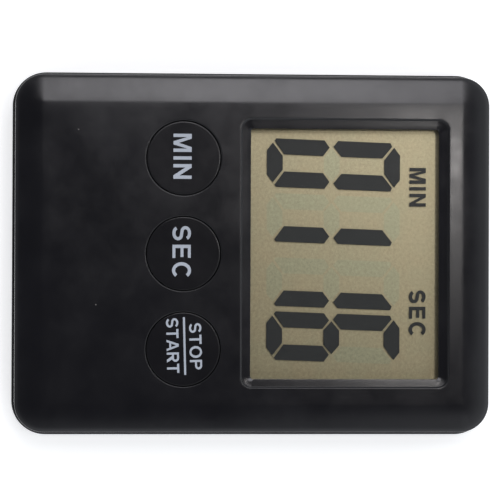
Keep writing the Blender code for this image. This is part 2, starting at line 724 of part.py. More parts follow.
def sounder(materials):
    centre = (0.0, BACK_ROW_Y)
    paint(cylinder("piezo_disc", centre, PIEZO_RADIUS, *PIEZO_Z, DISC_SIDES), materials["brass"])
    low_z = PIEZO_Z[1] + CONTACT_GAP
    ceramic = cylinder("piezo_ceramic", centre, CERAMIC_RADIUS, low_z, low_z + CERAMIC_THICKNESS, DISC_SIDES)
    paint(ceramic, materials["ceramic"])
    red = [
        (0.0030, 0.0295, 0.00335),
        (0.0050, 0.0282, 0.00345),
        (0.0068, 0.0262, 0.00375),
        (0.0078, 0.0240, 0.00410),
        (0.0080, 0.0215, 0.00445),
    ]
    black = [
        (-0.0062, 0.0295, 0.00335),
        (-0.0072, 0.0280, 0.00345),
        (-0.0082, 0.0260, 0.00375),
        (-0.0086, 0.0238, 0.00410),
        (-0.0084, 0.0215, 0.00445),
    ]
    wire("piezo_wire_red", red, materials["red_insulation"])
    wire("piezo_wire_black", black, materials["black_insulation"])


# ---- battery, door and magnets ----------------------------------------------------------------
def battery(materials):
    low, high = BATTERY_Z
    profile = [
        (BATTERY_RADIUS - 0.0002, low),
        (BATTERY_RADIUS, low + 0.0002),
        (BATTERY_RADIUS, high - 0.0008),
        (0.0053, high - 0.0004),
        (0.0049, high - 0.0004),
        (0.0047, high),
    ]
    paint(turned("battery_cell", (0.0, BATTERY_Y), profile, DISC_SIDES), materials["nickel"])
    tab_z = BOARD_Z[0] - 0.0002
    plate_y = BATTERY_Y + BATTERY_RADIUS + 0.00018
    positive = [(plate_y, 0.0030), (plate_y, tab_z), (CONTACT_END_Y, tab_z)]
    strip("battery_contact_positive", -CONTACT_X, positive, materials["steel"])
    over_z = BATTERY_Z[1] + 0.00022
    outside_y = BATTERY_Y + CUP_RADIUS + 0.0007
    negative = [(BATTERY_Y - 0.0020, over_z), (outside_y, over_z), (outside_y, tab_z), (CONTACT_END_Y, tab_z)]
    strip("battery_contact_negative", CONTACT_X, negative, materials["steel"])


def grip_cutters(name, half_length, rows, face_z):
    """Cutters for a row of shallow finger grooves across a face that looks down."""
    return [
        box(
            f"cut_{name}_grip_{i}",
            (-half_length, y - GRIP_HALF_WIDTH, -PAST),
            (half_length, y + GRIP_HALF_WIDTH, face_z + GRIP_DEPTH),
            helper=True,
        )
        for i, y in enumerate(rows)
    ]


def battery_door(materials):
    plate = box(
        "battery_door",
        (-DOOR_HALF_WIDTH, DOOR_Y[0], DOOR_Z[0]),
        (DOOR_HALF_WIDTH, DOOR_Y[1], DOOR_Z[1]),
    )
    paint(plate, materials["black_plastic"])
    reach = DOOR_HALF_WIDTH + DOOR_TONGUE
    low, high = (-reach, DOOR_Y[0] + TONGUE_SETBACK, TONGUE_Z), (reach, DOOR_Y[1], DOOR_Z[1])
    fuse(plate, box("add_door_tongues", low, high, helper=True))
    corner = ((-PAST, -PAST), (DOOR_CHAMFER + PAST, -PAST), (-PAST, DOOR_CHAMFER + PAST))
    outer_edge = loft(
        "cut_door_edge",
        [
            [Vector((x, DOOR_Y[0] + dy, DOOR_Z[0] + dz)) for dy, dz in corner]
            for x in (-0.02, 0.02)
        ],
        helper=True,
    )
    carve(plate, outer_edge)
    carve(plate, *grip_cutters("door", DOOR_GRIP_HALF, DOOR_GRIP_Y, DOOR_Z[0]))
    pivot_at(plate, (0.0, DOOR_Y[1], DOOR_Z[1]))


def magnets(materials):
    profile = [
        (MAGNET_RADIUS - MAGNET_CHAMFER, MAGNET_Z[0]),
        (MAGNET_RADIUS, MAGNET_Z[0] + MAGNET_CHAMFER),
        (MAGNET_RADIUS, MAGNET_Z[1]),
    ]
    for name, place in magnet_places().items():
        paint(turned(name, place, profile, DISC_SIDES), materials["nickel"])


# ---- the folding stand ------------------------------------------------------------------------
def stand(materials):
    """A flap with a round hinge edge, a stub pin at each end of it and grip lines near its tip."""
    centre = (0.0, (STAND_HINGE_Y + STAND_TIP_Y) / 2)
    half = (STAND_HALF_WIDTH, (STAND_TIP_Y - STAND_HINGE_Y) / 2)
    tip_radius = 0.0010
    outline = rounded_rectangle(half, tip_radius, centre, 3)
    square_y = STAND_HINGE_Y + tip_radius
    outline = [(x, y) if y > square_y else (math.copysign(half[0], x), STAND_HINGE_Y) for x, y in outline]
    outline = [p for i, p in enumerate(outline) if p != outline[i - 1]]
    flap = paint(prism("stand", outline, *STAND_Z), materials["black_plastic"])
    barrel_radius = (STAND_Z[1] - STAND_Z[0]) / 2
    barrel = cross_bar("add_barrel", STAND_HALF_WIDTH, STAND_HINGE_Y, HINGE_Z, barrel_radius, helper=True)
    pins = cross_bar("add_stub_pins", HINGE_PIN[0], STAND_HINGE_Y, HINGE_Z, HINGE_PIN[1], helper=True)
    fuse(flap, barrel, pins)
    carve(flap, *grip_cutters("stand", STAND_GRIP_HALF, STAND_GRIP_Y, STAND_Z[0]))
    pivot_at(flap, (0.0, STAND_HINGE_Y, HINGE_Z))


# ---- screws -----------------------------------------------------------------------------------
def screw(name, place, head_radius, head_z, shank_radius, tip_z, material_used):
    """A self-tapping screw that points up into the case, with a domed head below."""
    point = tip_z - shank_radius
    profile = [
        (head_radius * 0.6, head_z[0]),
        (head_radius, head_z[0] + 0.0003),
        (head_radius, head_z[1]),
        (shank_radius, head_z[1]),
        (shank_radius, point),
        (shank_radius * 0.3, tip_z),
    ]
    paint(turned(name, place, profile, SCREW_SIDES), material_used)


def screws(materials):
    for i, place in enumerate(case_screw_places(), 1):
        screw(f"case_screw_{i}", place, *CASE_SCREW, materials["steel"])
    for i, place in enumerate(board_screw_places(), 1):
        screw(f"board_screw_{i}", place, *BOARD_SCREW, materials["steel"])


def main():
    for old in list(bpy.data.objects):
        bpy.data.objects.remove(old)
    materials = make_materials()
    front_case(materials)
    rear_case(materials)
    display(materials)
    for name, place in zip(BUTTON_NAMES, button_places()):
        button(name, place, materials)
    keypad_mat(materials)
    main_board(materials)
    board_parts(materials)
    sounder(materials)
    battery(materials)
    battery_door(materials)
    magnets(materials)
    stand(materials)
    screws(materials)


main()
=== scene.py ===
"""The looks of a slim digital kitchen timer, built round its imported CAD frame.

Lengths are in metres, in the frame's own axes: +Z out of the display, +Y towards its top, +X to its right.
"""

import json
import math

import bmesh
import bpy
from mathutils import Matrix, Vector, noise


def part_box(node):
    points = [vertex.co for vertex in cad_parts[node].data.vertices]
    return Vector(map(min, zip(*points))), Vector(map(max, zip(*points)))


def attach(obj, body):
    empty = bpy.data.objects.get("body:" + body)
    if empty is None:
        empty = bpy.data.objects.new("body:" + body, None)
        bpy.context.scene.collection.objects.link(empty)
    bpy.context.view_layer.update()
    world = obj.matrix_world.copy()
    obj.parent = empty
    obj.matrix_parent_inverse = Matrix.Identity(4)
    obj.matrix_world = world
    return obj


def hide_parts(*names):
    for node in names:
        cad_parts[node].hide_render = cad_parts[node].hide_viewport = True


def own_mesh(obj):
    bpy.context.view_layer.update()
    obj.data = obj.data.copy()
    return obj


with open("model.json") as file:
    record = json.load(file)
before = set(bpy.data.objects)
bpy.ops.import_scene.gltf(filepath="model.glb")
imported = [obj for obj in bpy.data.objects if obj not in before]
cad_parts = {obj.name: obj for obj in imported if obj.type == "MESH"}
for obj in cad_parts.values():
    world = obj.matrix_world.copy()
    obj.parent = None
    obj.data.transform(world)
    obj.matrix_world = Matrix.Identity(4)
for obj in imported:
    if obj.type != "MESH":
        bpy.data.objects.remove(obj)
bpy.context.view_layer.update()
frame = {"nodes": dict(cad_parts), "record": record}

# ---- places taken from the frame ----
FRONT_LOW, FRONT_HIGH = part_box("front_case")
REAR_LOW, REAR_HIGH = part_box("rear_case")
FILM_LOW, FILM_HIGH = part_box("lcd_front_polarizer")
STAND_LOW, STAND_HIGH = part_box("stand")
DOOR_LOW, DOOR_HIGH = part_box("battery_door")
CELL_LOW, CELL_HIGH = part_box("battery_cell")
FACE_Z = FRONT_HIGH.z
SHELL_GAP = 0.0001
SPLIT_Z = FRONT_LOW.z - SHELL_GAP
KEYS = ("min", "sec", "start_stop")

# ---- the front shell ----
CORNER_RADIUS = 0.0058
RIM_STEP = REAR_HIGH.x - FRONT_HIGH.x
DRAFT_INSET = 0.00040
FACE_EDGE_RADIUS = 0.00035
ROLL_WIDTH = 0.0010
ROLL_SLOPE = 0.42
CROWN_WIDTH = 0.0044
CROWN_SLOPE_INNER = 0.075
CROWN_SLOPE_OUTER = 0.205
CREASE_WIDTH = 0.00025
FADE_WIDTH = 0.0014
FADE_SLOPE = 0.016
WALL = 0.0015
ROOF_Z = 0.0084
FOOT_CHAMFER = 0.00012
FACE_OPENING = ((-0.02302, -0.00224), (0.02269, 0.03332), 0.0020)
LIP_OPENING = ((-0.02116, -0.00045), (0.02114, 0.03150), 0.0005)
BEZEL_WIDTH = 0.00175
LEDGE_Z = 0.00946
LEDGE_START = 0.00037
LEDGE_SLOPE_SIDES = 0.05
LEDGE_SLOPE_ENDS = 0.16
BEZEL_CORNER_STEPS = 14
BUTTON_HOLE_RADIUS = 0.00636
BUTTON_HOLE_EDGE = 0.00011
EDGE_MARGIN = 2.2  # where the flat ring beside a softened edge ends, in edge radii from the wall
SINK_PLACE = Vector((-0.0282, -0.0222))
SINK_RADIUS = 0.0016
SINK_DEPTH = 0.000022
WAVE_DEPTH = 0.000010
WAVE_LENGTH = 0.0055
WAVE_LEVEL = 0.6  # noise under this lowers the border
RIPPLE_FLOOR = ROOF_Z + 0.0004

# ---- buttons and lettering ----
BUTTON_RADIUS = 0.00618
BUTTON_EDGE = 0.00013
FLANGE_RADIUS = 0.0068
FLANGE_Z = (0.0077, 0.0083)
FLANGE_CHAMFER = 0.0001
BUTTON_HOLLOW_RADIUS = 0.0052
BUTTON_HOLLOW_TOP = 0.0087
PLUNGER_RADIUS = 0.0018
GATE_DENT = 0.020
GATE_SPREAD = 0.035
DOME_RADIUS = 0.0046
GATE_MARK_ANGLES = {"min": -28, "sec": -37, "start_stop": -127}
PRINT_THICKNESS = 0.000012
STEM = 0.175
LABEL_STEM = 0.205
WORD_TILT = 1.6

# ---- the display ----
DIGIT_SLANT = math.tan(math.radians(2.05))
DIGIT_MIDDLE_Y = 0.01373
DIGITS = (
    ("minutes_tens", "0", -0.01520),
    ("minutes_units", "1", -0.00590),
    ("seconds_tens", "1", 0.00503),
    ("seconds_units", "6", 0.01421),
)
LABELS = (("minutes_label", "MIN", -0.01149, 0.0066), ("seconds_label", "SEC", 0.01003, 0.0079))
LABEL_MIDDLE_Y = 0.02814
LABEL_HEIGHT = 0.0028
SEGMENT_THICKNESS = 0.00002
SEGMENT_GAP = 0.00002
APPARENT_BACK_Z = 0.0070  # the reflector, seen through the rear glass

# ---- the back ----
PAST = 0.0005  # how far a cutter goes beyond the surface that it opens
INSIDE_Z = 0.0011  # where the pieces added inside begin, within the floor
FLOOR_Z = 0.0014
BACK_EDGE = 0.0010
RIM_EDGE = 0.00028
PIN_LENGTH = 0.0010
PIN_RADIUS = 0.0006
HINGE_AXIS_INSET = 0.0008
STAND_CLEARANCE = 0.0003
POCKET_FOOT_Y = -0.0158
POCKET_DEPTH = 0.0020
HINGE_HOLE = (0.01505, -0.0145, 0.00095, 0.00072)  # half length, y, z and radius
DOOR_TONGUE = 0.00085
DOOR_CLEARANCE = 0.00015
DOOR_CHAMFER = 0.0009
GRIP_HALF_WIDTH = 0.0003
GRIP_DEPTH = 0.0004
ARROW_DEPTH = 0.0002

# ---- the studio ----
SOFTBOX_HEIGHT = 0.60
FLOOR_REACH = 3.0
FLOOR_THICKNESS = 0.02
FLOOR_GLOW = 0.46

CORNER_STEPS = 18
STRAIGHT_STEPS = 44
ROUND_SIDES = 128
SMALL_SIDES = 48


# ---- outlines ----
def rounded_rectangle(half, radius, centre=(0.0, 0.0), steps=CORNER_STEPS, straight=1):
    """Counter-clockwise points of a round-cornered rectangle, its straight sides cut into equal steps."""
    points = []
    for sign_x, sign_y, start in ((1, 1, 0), (-1, 1, 90), (-1, -1, 180), (1, -1, 270)):
        corner_x = centre[0] + sign_x * (half[0] - radius)
        corner_y = centre[1] + sign_y * (half[1] - radius)
        for step in range(steps + 1):
            angle = math.radians(start + 90 * step / steps)
            across, up = radius * math.cos(angle), radius * math.sin(angle)
            points.append(Vector((corner_x + across, corner_y + up)))
    if straight == 1:
        return points
    cut = []
    for i, point in enumerate(points):
        cut.append(point)
        if (i + 1) % (steps + 1) == 0:
            after = points[(i + 1) % len(points)]
            cut += [point.lerp(after, step / straight) for step in range(1, straight)]
    return cut


def case_outline(inset):
    """The case's outline, moved inwards."""
    half = (REAR_HIGH.x - inset, REAR_HIGH.y - inset)
    return rounded_rectangle(half, max(CORNER_RADIUS - inset, 0.0003), straight=STRAIGHT_STEPS)


def circle(radius, centre=(0.0, 0.0), sides=ROUND_SIDES):
    turn = 2 * math.pi / sides
    return [
        Vector((centre[0] + radius * math.cos(i * turn), centre[1] + radius * math.sin(i * turn)))
        for i in range(sides)
    ]


def arc(centre, radius, start, end, steps):
    """Points (distance, height) on a round edge, at angles in degrees."""
    angles = [math.radians(start + (end - start) * i / steps) for i in range(steps + 1)]
    return [(centre[0] + radius * math.cos(a), centre[1] + radius * math.sin(a)) for a in angles]


def middle(low, high):
    return (low + high) / 2


def key_place(key):
    return middle(*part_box(f"{key}_carbon_pill")).xy


# ---- meshes ----
def chain(build, profile):
    """Rings of vertices at each (outline, height), with a wall between each and the next."""
    rings = [[build.verts.new((*point, z)) for point in outline] for outline, z in profile]
    for lower, upper in zip(rings, rings[1:]):
        bridge(build, lower, upper)
    return rings


def bridge(build, lower, upper):
    for i in range(len(lower)):
        j = (i + 1) % len(lower)
        build.faces.new((lower[i], lower[j], upper[j], upper[i]))


def cap(build, *loops):
    """A flat face inside the first loop, with the other loops as holes in it."""
    edges = []
    for loop in loops:
        for i, vertex in enumerate(loop):
            after = loop[(i + 1) % len(loop)]
            edges.append(build.edges.get((vertex, after)) or build.edges.new((vertex, after)))
    bmesh.ops.triangle_fill(build, edges=edges, use_beauty=True, normal=(0, 0, 1))


def finish_mesh(build, name, sharp=40):
    """The object of a closed mesh, shaded smooth with flat faces kept flat."""
    bmesh.ops.recalc_face_normals(build, faces=build.faces)
    mesh = bpy.data.meshes.new(name)
    build.to_mesh(mesh)
    build.free()
    made = bpy.data.objects.new(name, mesh)
    bpy.context.scene.collection.objects.link(made)
    return shade(made, sharp)


def shade(made, sharp=40):
    made.data.shade_smooth()
    made.data.set_sharp_from_angle(angle=math.radians(sharp))
    weighted = made.modifiers.new("even_shading", "WEIGHTED_NORMAL")
    weighted.keep_sharp = True
    weighted.weight = 80
    return made


def loft(name, profile):
    """A closed solid through rings, capped at both ends."""
    build = bmesh.new()
    rings = chain(build, profile)
    cap(build, rings[0])
    cap(build, rings[-1])
    return finish_mesh(build, name)


def turned(name, centre, profile, sides=ROUND_SIDES):
    """A solid of revolution from (radius, height) points."""
    return loft(name, [(circle(radius, centre, sides), z) for radius, z in profile])


def plate(name, outline, low, high):
    return loft(name, [(outline, low), (outline, high)])


def block(name, low, high):
    corners = ((low[0], low[1]), (high[0], low[1]), (high[0], high[1]), (low[0], high[1]))
    return plate(name, [Vector(corner) for corner in corners], low[2], high[2])


def cross_bar(name, half_length, y, z, radius):
    """A round bar along X."""
    made = turned(name, (0.0, 0.0), [(radius, -half_length), (radius, half_length)], SMALL_SIDES)
    made.data.transform(Matrix.Translation((0, y, z)) @ Matrix.Rotation(math.pi / 2, 4, "Y"))
    return made


def evaluated_mesh(made):
    view = bpy.context.evaluated_depsgraph_get()
    return bpy.data.meshes.new_from_object(made.evaluated_get(view))


def settle(made):
    """Replace an object's mesh by what its modifiers make of it."""
    mesh = evaluated_mesh(made)
    made.modifiers.clear()
    made.data = mesh
    return made


def combine(target, operation, tools):
    """Cut the tools out of the target, or join them to it, one after another."""
    target.modifiers.clear()
    for tool in tools:
        tool.modifiers.clear()
        modifier = target.modifiers.new(tool.name, "BOOLEAN")
        modifier.operation = operation
        modifier.solver = "EXACT"
        modifier.object = tool
    settle(target)
    for tool in tools:
        bpy.data.objects.remove(tool)
    return target


def carve(target, *tools):
    return combine(target, "DIFFERENCE", tools)


def fuse(target, *tools):
    return combine(target, "UNION", tools)


def soften(made, width):
    """Round the edges that are sharper than 35 degrees."""
    bevel = made.modifiers.new("soft_edges", "BEVEL")
    bevel.width = width
    bevel.segments = 3
    bevel.limit_method = "ANGLE"
    bevel.angle_limit = math.radians(35)
    bevel.use_clamp_overlap = True
    settle(made)
    return shade(made)


# ---- materials ----
def add_node(tree, kind, inputs=(), **settings):
    """A new node, with its settings made and its inputs set or linked."""
    node = tree.nodes.new(kind)
    for key, value in settings.items():
        setattr(node, key, value)
    for key, value in dict(inputs).items():
        if isinstance(value, bpy.types.NodeSocket):
            tree.links.new(value, node.inputs[key])
        else:
            node.inputs[key].default_value = value
    return node


class Surface:
    """A material's node tree, with short ways to add textures in object coordinates."""

    def __init__(self, name):
        self.material = bpy.data.materials.new(name)
        self.material.use_nodes = True
        self.tree = self.material.node_tree
        self.shader = self.tree.nodes["Principled BSDF"]
        self.place = self.tree.nodes.new("ShaderNodeTexCoord").outputs["Object"]

    def add(self, kind, inputs=(), **settings):
        return add_node(self.tree, kind, inputs, **settings)

    def noise(self, scale, detail=3.0, roughness=0.55):
        inputs = {"Vector": self.place, "Scale": scale, "Detail": detail, "Roughness": roughness}
        return self.add("ShaderNodeTexNoise", inputs).outputs["Fac"]

    def spread(self, source, low, high, start=0.3, end=0.7):
        """A 0 to 1 source, spread from low to high."""
        inputs = {"Value": source, "From Min": start, "From Max": end, "To Min": low, "To Max": high}
        return self.add("ShaderNodeMapRange", inputs).outputs["Result"]

    def mix(self, factor, first, second):
        node = self.add("ShaderNodeMix", data_type="RGBA")
        for key, value in ((0, factor), (6, first), (7, second)):
            if isinstance(value, bpy.types.NodeSocket):
                self.tree.links.new(value, node.inputs[key])
            else:
                node.inputs[key].default_value = value if key == 0 else (*value, 1.0)
        return node.outputs[2]

    def math(self, operation, *values):
        inputs = dict(enumerate(values))
        return self.add("ShaderNodeMath", inputs, operation=operation).outputs[0]

    def specks(self, spacing, size, share):
        """1 in sparse round specks and 0 elsewhere."""
        inputs = {"Vector": self.place, "Scale": 1 / spacing, "Randomness": 1.0}
        node = self.add("ShaderNodeTexVoronoi", inputs)
        near = self.math("LESS_THAN", node.outputs["Distance"], size / spacing)
        pick = self.add("ShaderNodeSeparateColor", {"Color": node.outputs["Color"]}).outputs[0]
        return self.math("MULTIPLY", near, self.math("LESS_THAN", pick, share))

    def bump(self, height, depth):
        inputs = {"Height": height, "Distance": depth, "Strength": 1.0}
        self.link(self.add("ShaderNodeBump", inputs).outputs["Normal"], "Normal")

    def link(self, source, socket):
        self.tree.links.new(source, self.shader.inputs[socket])

    def set(self, **values):
        for key, value in values.items():
            self.shader.inputs[key.replace("_", " ").title()].default_value = value


def shaded(colour, share):
    return tuple(part * share for part in colour)


def moulded(name, colour, roughness, grain=0.0000030, haze=0.05, dust=0.0):
    """Moulded plastic or rubber: fine grain, slow changes of gloss and, where asked, a little dust."""
    surface = Surface(name)
    cloud = surface.noise(70, 4.0)
    body = surface.mix(surface.spread(cloud, 0, 1), shaded(colour, 0.88), shaded(colour, 1.12))
    rough = surface.spread(surface.noise(130, 5.0, 0.65), roughness - haze, roughness + haze)
    if dust:
        small, large = surface.specks(0.0042, 0.00011, dust), surface.specks(0.0090, 0.00019, dust)
        fleck = surface.math("MAXIMUM", small, large)
        body = surface.mix(fleck, body, (0.16, 0.15, 0.14))
        rough = surface.math("MAXIMUM", rough, surface.math("MULTIPLY", fleck, 0.8))
    surface.link(body, "Base Color")
    surface.link(rough, "Roughness")
    surface.bump(surface.noise(7000, 2.0), grain)
    return surface.material


def metal(name, colour, roughness, brushed=(1, 1, 1)):
    """Plated or plain metal, with fine scratches along its brushed direction and slight tarnish."""
    surface = Surface(name)
    surface.set(metallic=1.0)
    inputs = {"Vector": surface.place, "Scale": brushed}
    stretched = surface.add("ShaderNodeMapping", inputs).outputs["Vector"]
    scratches = surface.add("ShaderNodeTexNoise", {"Vector": stretched, "Scale": 2600, "Detail": 3.0})
    tarnish = surface.spread(surface.noise(240, 4.0), 0, 1)
    surface.link(surface.mix(tarnish, colour, shaded(colour, 0.78)), "Base Color")
    surface.link(surface.spread(scratches.outputs["Fac"], roughness - 0.06, roughness + 0.08), "Roughness")
    surface.bump(scratches.outputs["Fac"], 0.000002)
    return surface.material


def display_reflector(name, warm, cool):
    """A silvered, sand-grained film that gives the display its olive ground."""
    surface = Surface(name)
    grain = surface.noise(2000, 4.0, 0.85)
    patches = surface.noise(210, 3.0)
    ground = surface.mix(surface.spread(patches, 0, 1), warm, cool)
    coarse = surface.mix(surface.spread(grain, 0, 1), (0.66, 0.66, 0.66), (1.04, 1.04, 1.04))
    both = {0: 1.0, 6: ground, 7: coarse}
    colour = surface.add("ShaderNodeMix", both, data_type="RGBA", blend_type="MULTIPLY")
    surface.link(colour.outputs[2], "Base Color")
    surface.set(metallic=0.78)
    surface.link(surface.spread(grain, 0.30, 0.38), "Roughness")
    surface.bump(grain, 0.000006)
    return surface.material


def clear(name, tint, gloss_roughness, index):
    """A clear layer that lets light and shadow through and mirrors at a slant."""
    surface = Surface(name)
    surface.tree.nodes.remove(surface.shader)
    through = surface.add("ShaderNodeBsdfTransparent", {"Color": (*tint, 1.0)}).outputs["BSDF"]
    rough = surface.spread(surface.noise(3500, 2.0), gloss_roughness * 0.8, gloss_roughness * 1.2)
    gloss = surface.add("ShaderNodeBsdfAnisotropic", {"Roughness": rough}).outputs["BSDF"]
    share = surface.add("ShaderNodeFresnel", {"IOR": index}).outputs["Fac"]
    both = surface.add("ShaderNodeMixShader", {0: share, 1: through, 2: gloss}).outputs["Shader"]
    surface.tree.links.new(both, surface.tree.nodes["Material Output"].inputs["Surface"])
    return surface.material


def board_laminate():
    """Green solder mask with faint copper tracks under it."""
    surface = Surface("board_laminate")
    weave = surface.add("ShaderNodeTexBrick", {"Vector": surface.place, "Scale": 260.0, "Mortar Size": 0.03})
    tracks = surface.spread(weave.outputs["Fac"], 0, 1, 0.0, 1.0)
    surface.link(surface.mix(tracks, (0.02, 0.13, 0.05), (0.05, 0.22, 0.08)), "Base Color")
    surface.link(surface.spread(surface.noise(400), 0.3, 0.45), "Roughness")
    surface.bump(weave.outputs["Fac"], 0.00002)
    return surface.material


def make_materials():
    return {
        "black_plastic": moulded("black_plastic", (0.0076, 0.0075, 0.0094), 0.213, dust=0.12),
        "button_plastic": moulded("button_plastic", (0.0070, 0.0068, 0.0084), 0.18, haze=0.03, dust=0.05),
        "lettering": moulded("lettering", (0.42, 0.455, 0.515), 0.42),
        "display_segment": moulded("display_segment", (0.0075, 0.0105, 0.0120), 0.55),
        "display_film": clear("display_film", (0.97, 0.97, 0.96), 0.30, 1.17),
        "reflector_film": display_reflector(
            "display_reflector", (0.492, 0.424, 0.274), (0.466, 0.424, 0.278)
        ),
        "unlit_segment": display_reflector(
            "unlit_segment", (0.446, 0.432, 0.288), (0.428, 0.424, 0.286)
        ),
        "grey_foam": moulded("grey_foam", (0.10, 0.10, 0.10), 0.90, 0.00005),
        "connector_rubber": moulded("connector_rubber", (0.50, 0.26, 0.30), 0.60),
        "keypad_rubber": moulded("keypad_rubber", (0.55, 0.55, 0.53), 0.55),
        "carbon": moulded("carbon", (0.02, 0.02, 0.02), 0.75),
        "board_laminate": board_laminate(),
        "epoxy": moulded("epoxy", (0.012, 0.012, 0.012), 0.28),
        "component": moulded("component", (0.30, 0.22, 0.15), 0.50),
        "steel": metal("steel", (0.56, 0.56, 0.57), 0.30),
        "nickel": metal("nickel", (0.66, 0.65, 0.62), 0.22, (1, 8, 1)),
        "brass": metal("brass", (0.72, 0.52, 0.20), 0.30),
        "ceramic": moulded("ceramic", (0.74, 0.73, 0.69), 0.45),
        "red_insulation": moulded("red_insulation", (0.55, 0.02, 0.02), 0.40),
        "black_insulation": moulded("black_insulation", (0.015, 0.015, 0.015), 0.40),
    }


def give(made, body, slot, material, *nodes):
    """Say what a new piece is: its body, its finish and the CAD nodes that it stands for."""
    made.data.materials.clear()
    made.data.materials.append(material)
    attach(made, body)
    if nodes:
        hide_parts(*nodes)
    return made


# ---- the front shell ----
def crown_slope(inset):
    """Slope of the face at a distance in from its edge: a roll, the crown, a crease and a slow fade."""
    if inset < ROLL_WIDTH:
        share = 1 - inset / ROLL_WIDTH
        return CROWN_SLOPE_OUTER + (ROLL_SLOPE - CROWN_SLOPE_OUTER) * share ** 3
    if inset < CROWN_WIDTH - CREASE_WIDTH:
        share = (inset - ROLL_WIDTH) / (CROWN_WIDTH - CREASE_WIDTH - ROLL_WIDTH)
        return CROWN_SLOPE_OUTER + (CROWN_SLOPE_INNER - CROWN_SLOPE_OUTER) * share
    if inset < CROWN_WIDTH + CREASE_WIDTH:
        share = (inset - CROWN_WIDTH + CREASE_WIDTH) / (2 * CREASE_WIDTH)
        return CROWN_SLOPE_INNER + (FADE_SLOPE - CROWN_SLOPE_INNER) * share
    share = min((inset - CROWN_WIDTH - CREASE_WIDTH) / FADE_WIDTH, 1.0)
    return FADE_SLOPE * (1 - share) ** 2


def outside_profile():
    """(inset, height) from the foot of the wall, round the edge and over the crowned border to the face."""
    foot, face = RIM_STEP, RIM_STEP + DRAFT_INSET
    end = CROWN_WIDTH + CREASE_WIDTH + FADE_WIDTH
    steps = [0.00002, 0.0001, 0.0002, 0.0003, 0.00045, 0.0006, 0.0008, ROLL_WIDTH]
    steps += [ROLL_WIDTH + (CROWN_WIDTH - CREASE_WIDTH - ROLL_WIDTH) * i / 8 for i in range(1, 9)]
    steps += [CROWN_WIDTH - CREASE_WIDTH / 2, CROWN_WIDTH]
    steps += [CROWN_WIDTH + CREASE_WIDTH / 2, CROWN_WIDTH + CREASE_WIDTH]
    steps += [CROWN_WIDTH + CREASE_WIDTH + FADE_WIDTH * i / 5 for i in range(1, 6)]
    fine = 0.00001
    heights = [FACE_Z]
    for i in range(round(end / fine), -1, -1):
        heights.append(heights[-1] - crown_slope(i * fine) * fine)
    heights.reverse()
    tilt = 90 - math.degrees(math.atan(ROLL_SLOPE))
    turn = math.radians(tilt)
    run = FACE_EDGE_RADIUS * (1 - math.cos(turn))
    crown = [(face + run + step, heights[round(step / fine)]) for step in steps]
    edge_z = crown[0][1] - FACE_EDGE_RADIUS * math.sin(turn)
    profile = [(foot + FOOT_CHAMFER, FRONT_LOW.z), (foot, FRONT_LOW.z + FOOT_CHAMFER)]
    for share in (0.33, 0.66):
        profile.append((foot + share * DRAFT_INSET, FRONT_LOW.z + share * (edge_z - FRONT_LOW.z)))
    edge = arc((face + FACE_EDGE_RADIUS, edge_z), FACE_EDGE_RADIUS, 180, 180 - tilt, 6)
    return profile + edge + crown


def bezel_profile():
    """(inset from the face opening, height) over the bezel's edge, step, ledge and lip to the roof."""
    edge, lip = 0.00022, 0.00004
    fillet = LEDGE_START - edge - 0.00003
    profile = [(-0.00025, FACE_Z)]
    profile += [(edge * math.sin(t), FACE_Z - edge * (1 - math.cos(t))) for t in quarter_turn(6)]
    profile += arc((LEDGE_START, LEDGE_Z + fillet), fillet, 180, 266, 5)
    lip_z = LEDGE_Z - LEDGE_SLOPE_SIDES * (BEZEL_WIDTH - LEDGE_START)
    profile += [((LEDGE_START + BEZEL_WIDTH) / 2, (LEDGE_Z + lip_z) / 2), (BEZEL_WIDTH - 2 * lip, lip_z)]
    profile += [(BEZEL_WIDTH - lip / 2, lip_z - lip / 2)]
    profile += [(BEZEL_WIDTH, lip_z - 2 * lip), (BEZEL_WIDTH, ROOF_Z)]
    return profile


def bezel_outline(inset):
    """A ring of the bezel, between the opening in the face and the opening in the lip."""
    share = inset / BEZEL_WIDTH
    low = Vector(FACE_OPENING[0]).lerp(Vector(LIP_OPENING[0]), share)
    high = Vector(FACE_OPENING[1]).lerp(Vector(LIP_OPENING[1]), share)
    radius = FACE_OPENING[2] + (LIP_OPENING[2] - FACE_OPENING[2]) * share
    return rounded_rectangle((high - low) / 2, radius, (low + high) / 2, BEZEL_CORNER_STEPS)


def tilt_ledge(rings):
    """Lower the inner edge of the ledge further at the display's two ends than at its sides."""
    for ring, (inset, z) in zip(rings, bezel_profile()):
        if z == ROOF_Z or inset < LEDGE_START:
            continue
        drop = (LEDGE_SLOPE_ENDS - LEDGE_SLOPE_SIDES) * (inset - LEDGE_START)
        for i, vertex in enumerate(ring):
            corner, step = divmod(i, BEZEL_CORNER_STEPS + 1)
            vertex.co.z -= drop * math.sin(math.pi / 2 * (corner + step / BEZEL_CORNER_STEPS)) ** 2


def ripple(vertex):
    """Move a vertex of the falling border a little, for the sink mark and the slow waves of a moulding."""
    if vertex.co.z < RIPPLE_FLOOR:
        return
    place = vertex.co.xy
    near = (place - SINK_PLACE).length / SINK_RADIUS
    border = min(REAR_HIGH.x - abs(place.x), REAR_HIGH.y - abs(place.y))
    share = max(0.0, min(1.0, (RIM_STEP + DRAFT_INSET + CROWN_WIDTH - border) / CROWN_WIDTH))
    wave = noise.noise(Vector((place.x, place.y, 0.0)) / WAVE_LENGTH) - WAVE_LEVEL
    vertex.co.z += share * (WAVE_DEPTH * wave - SINK_DEPTH * math.exp(-near * near * 2))


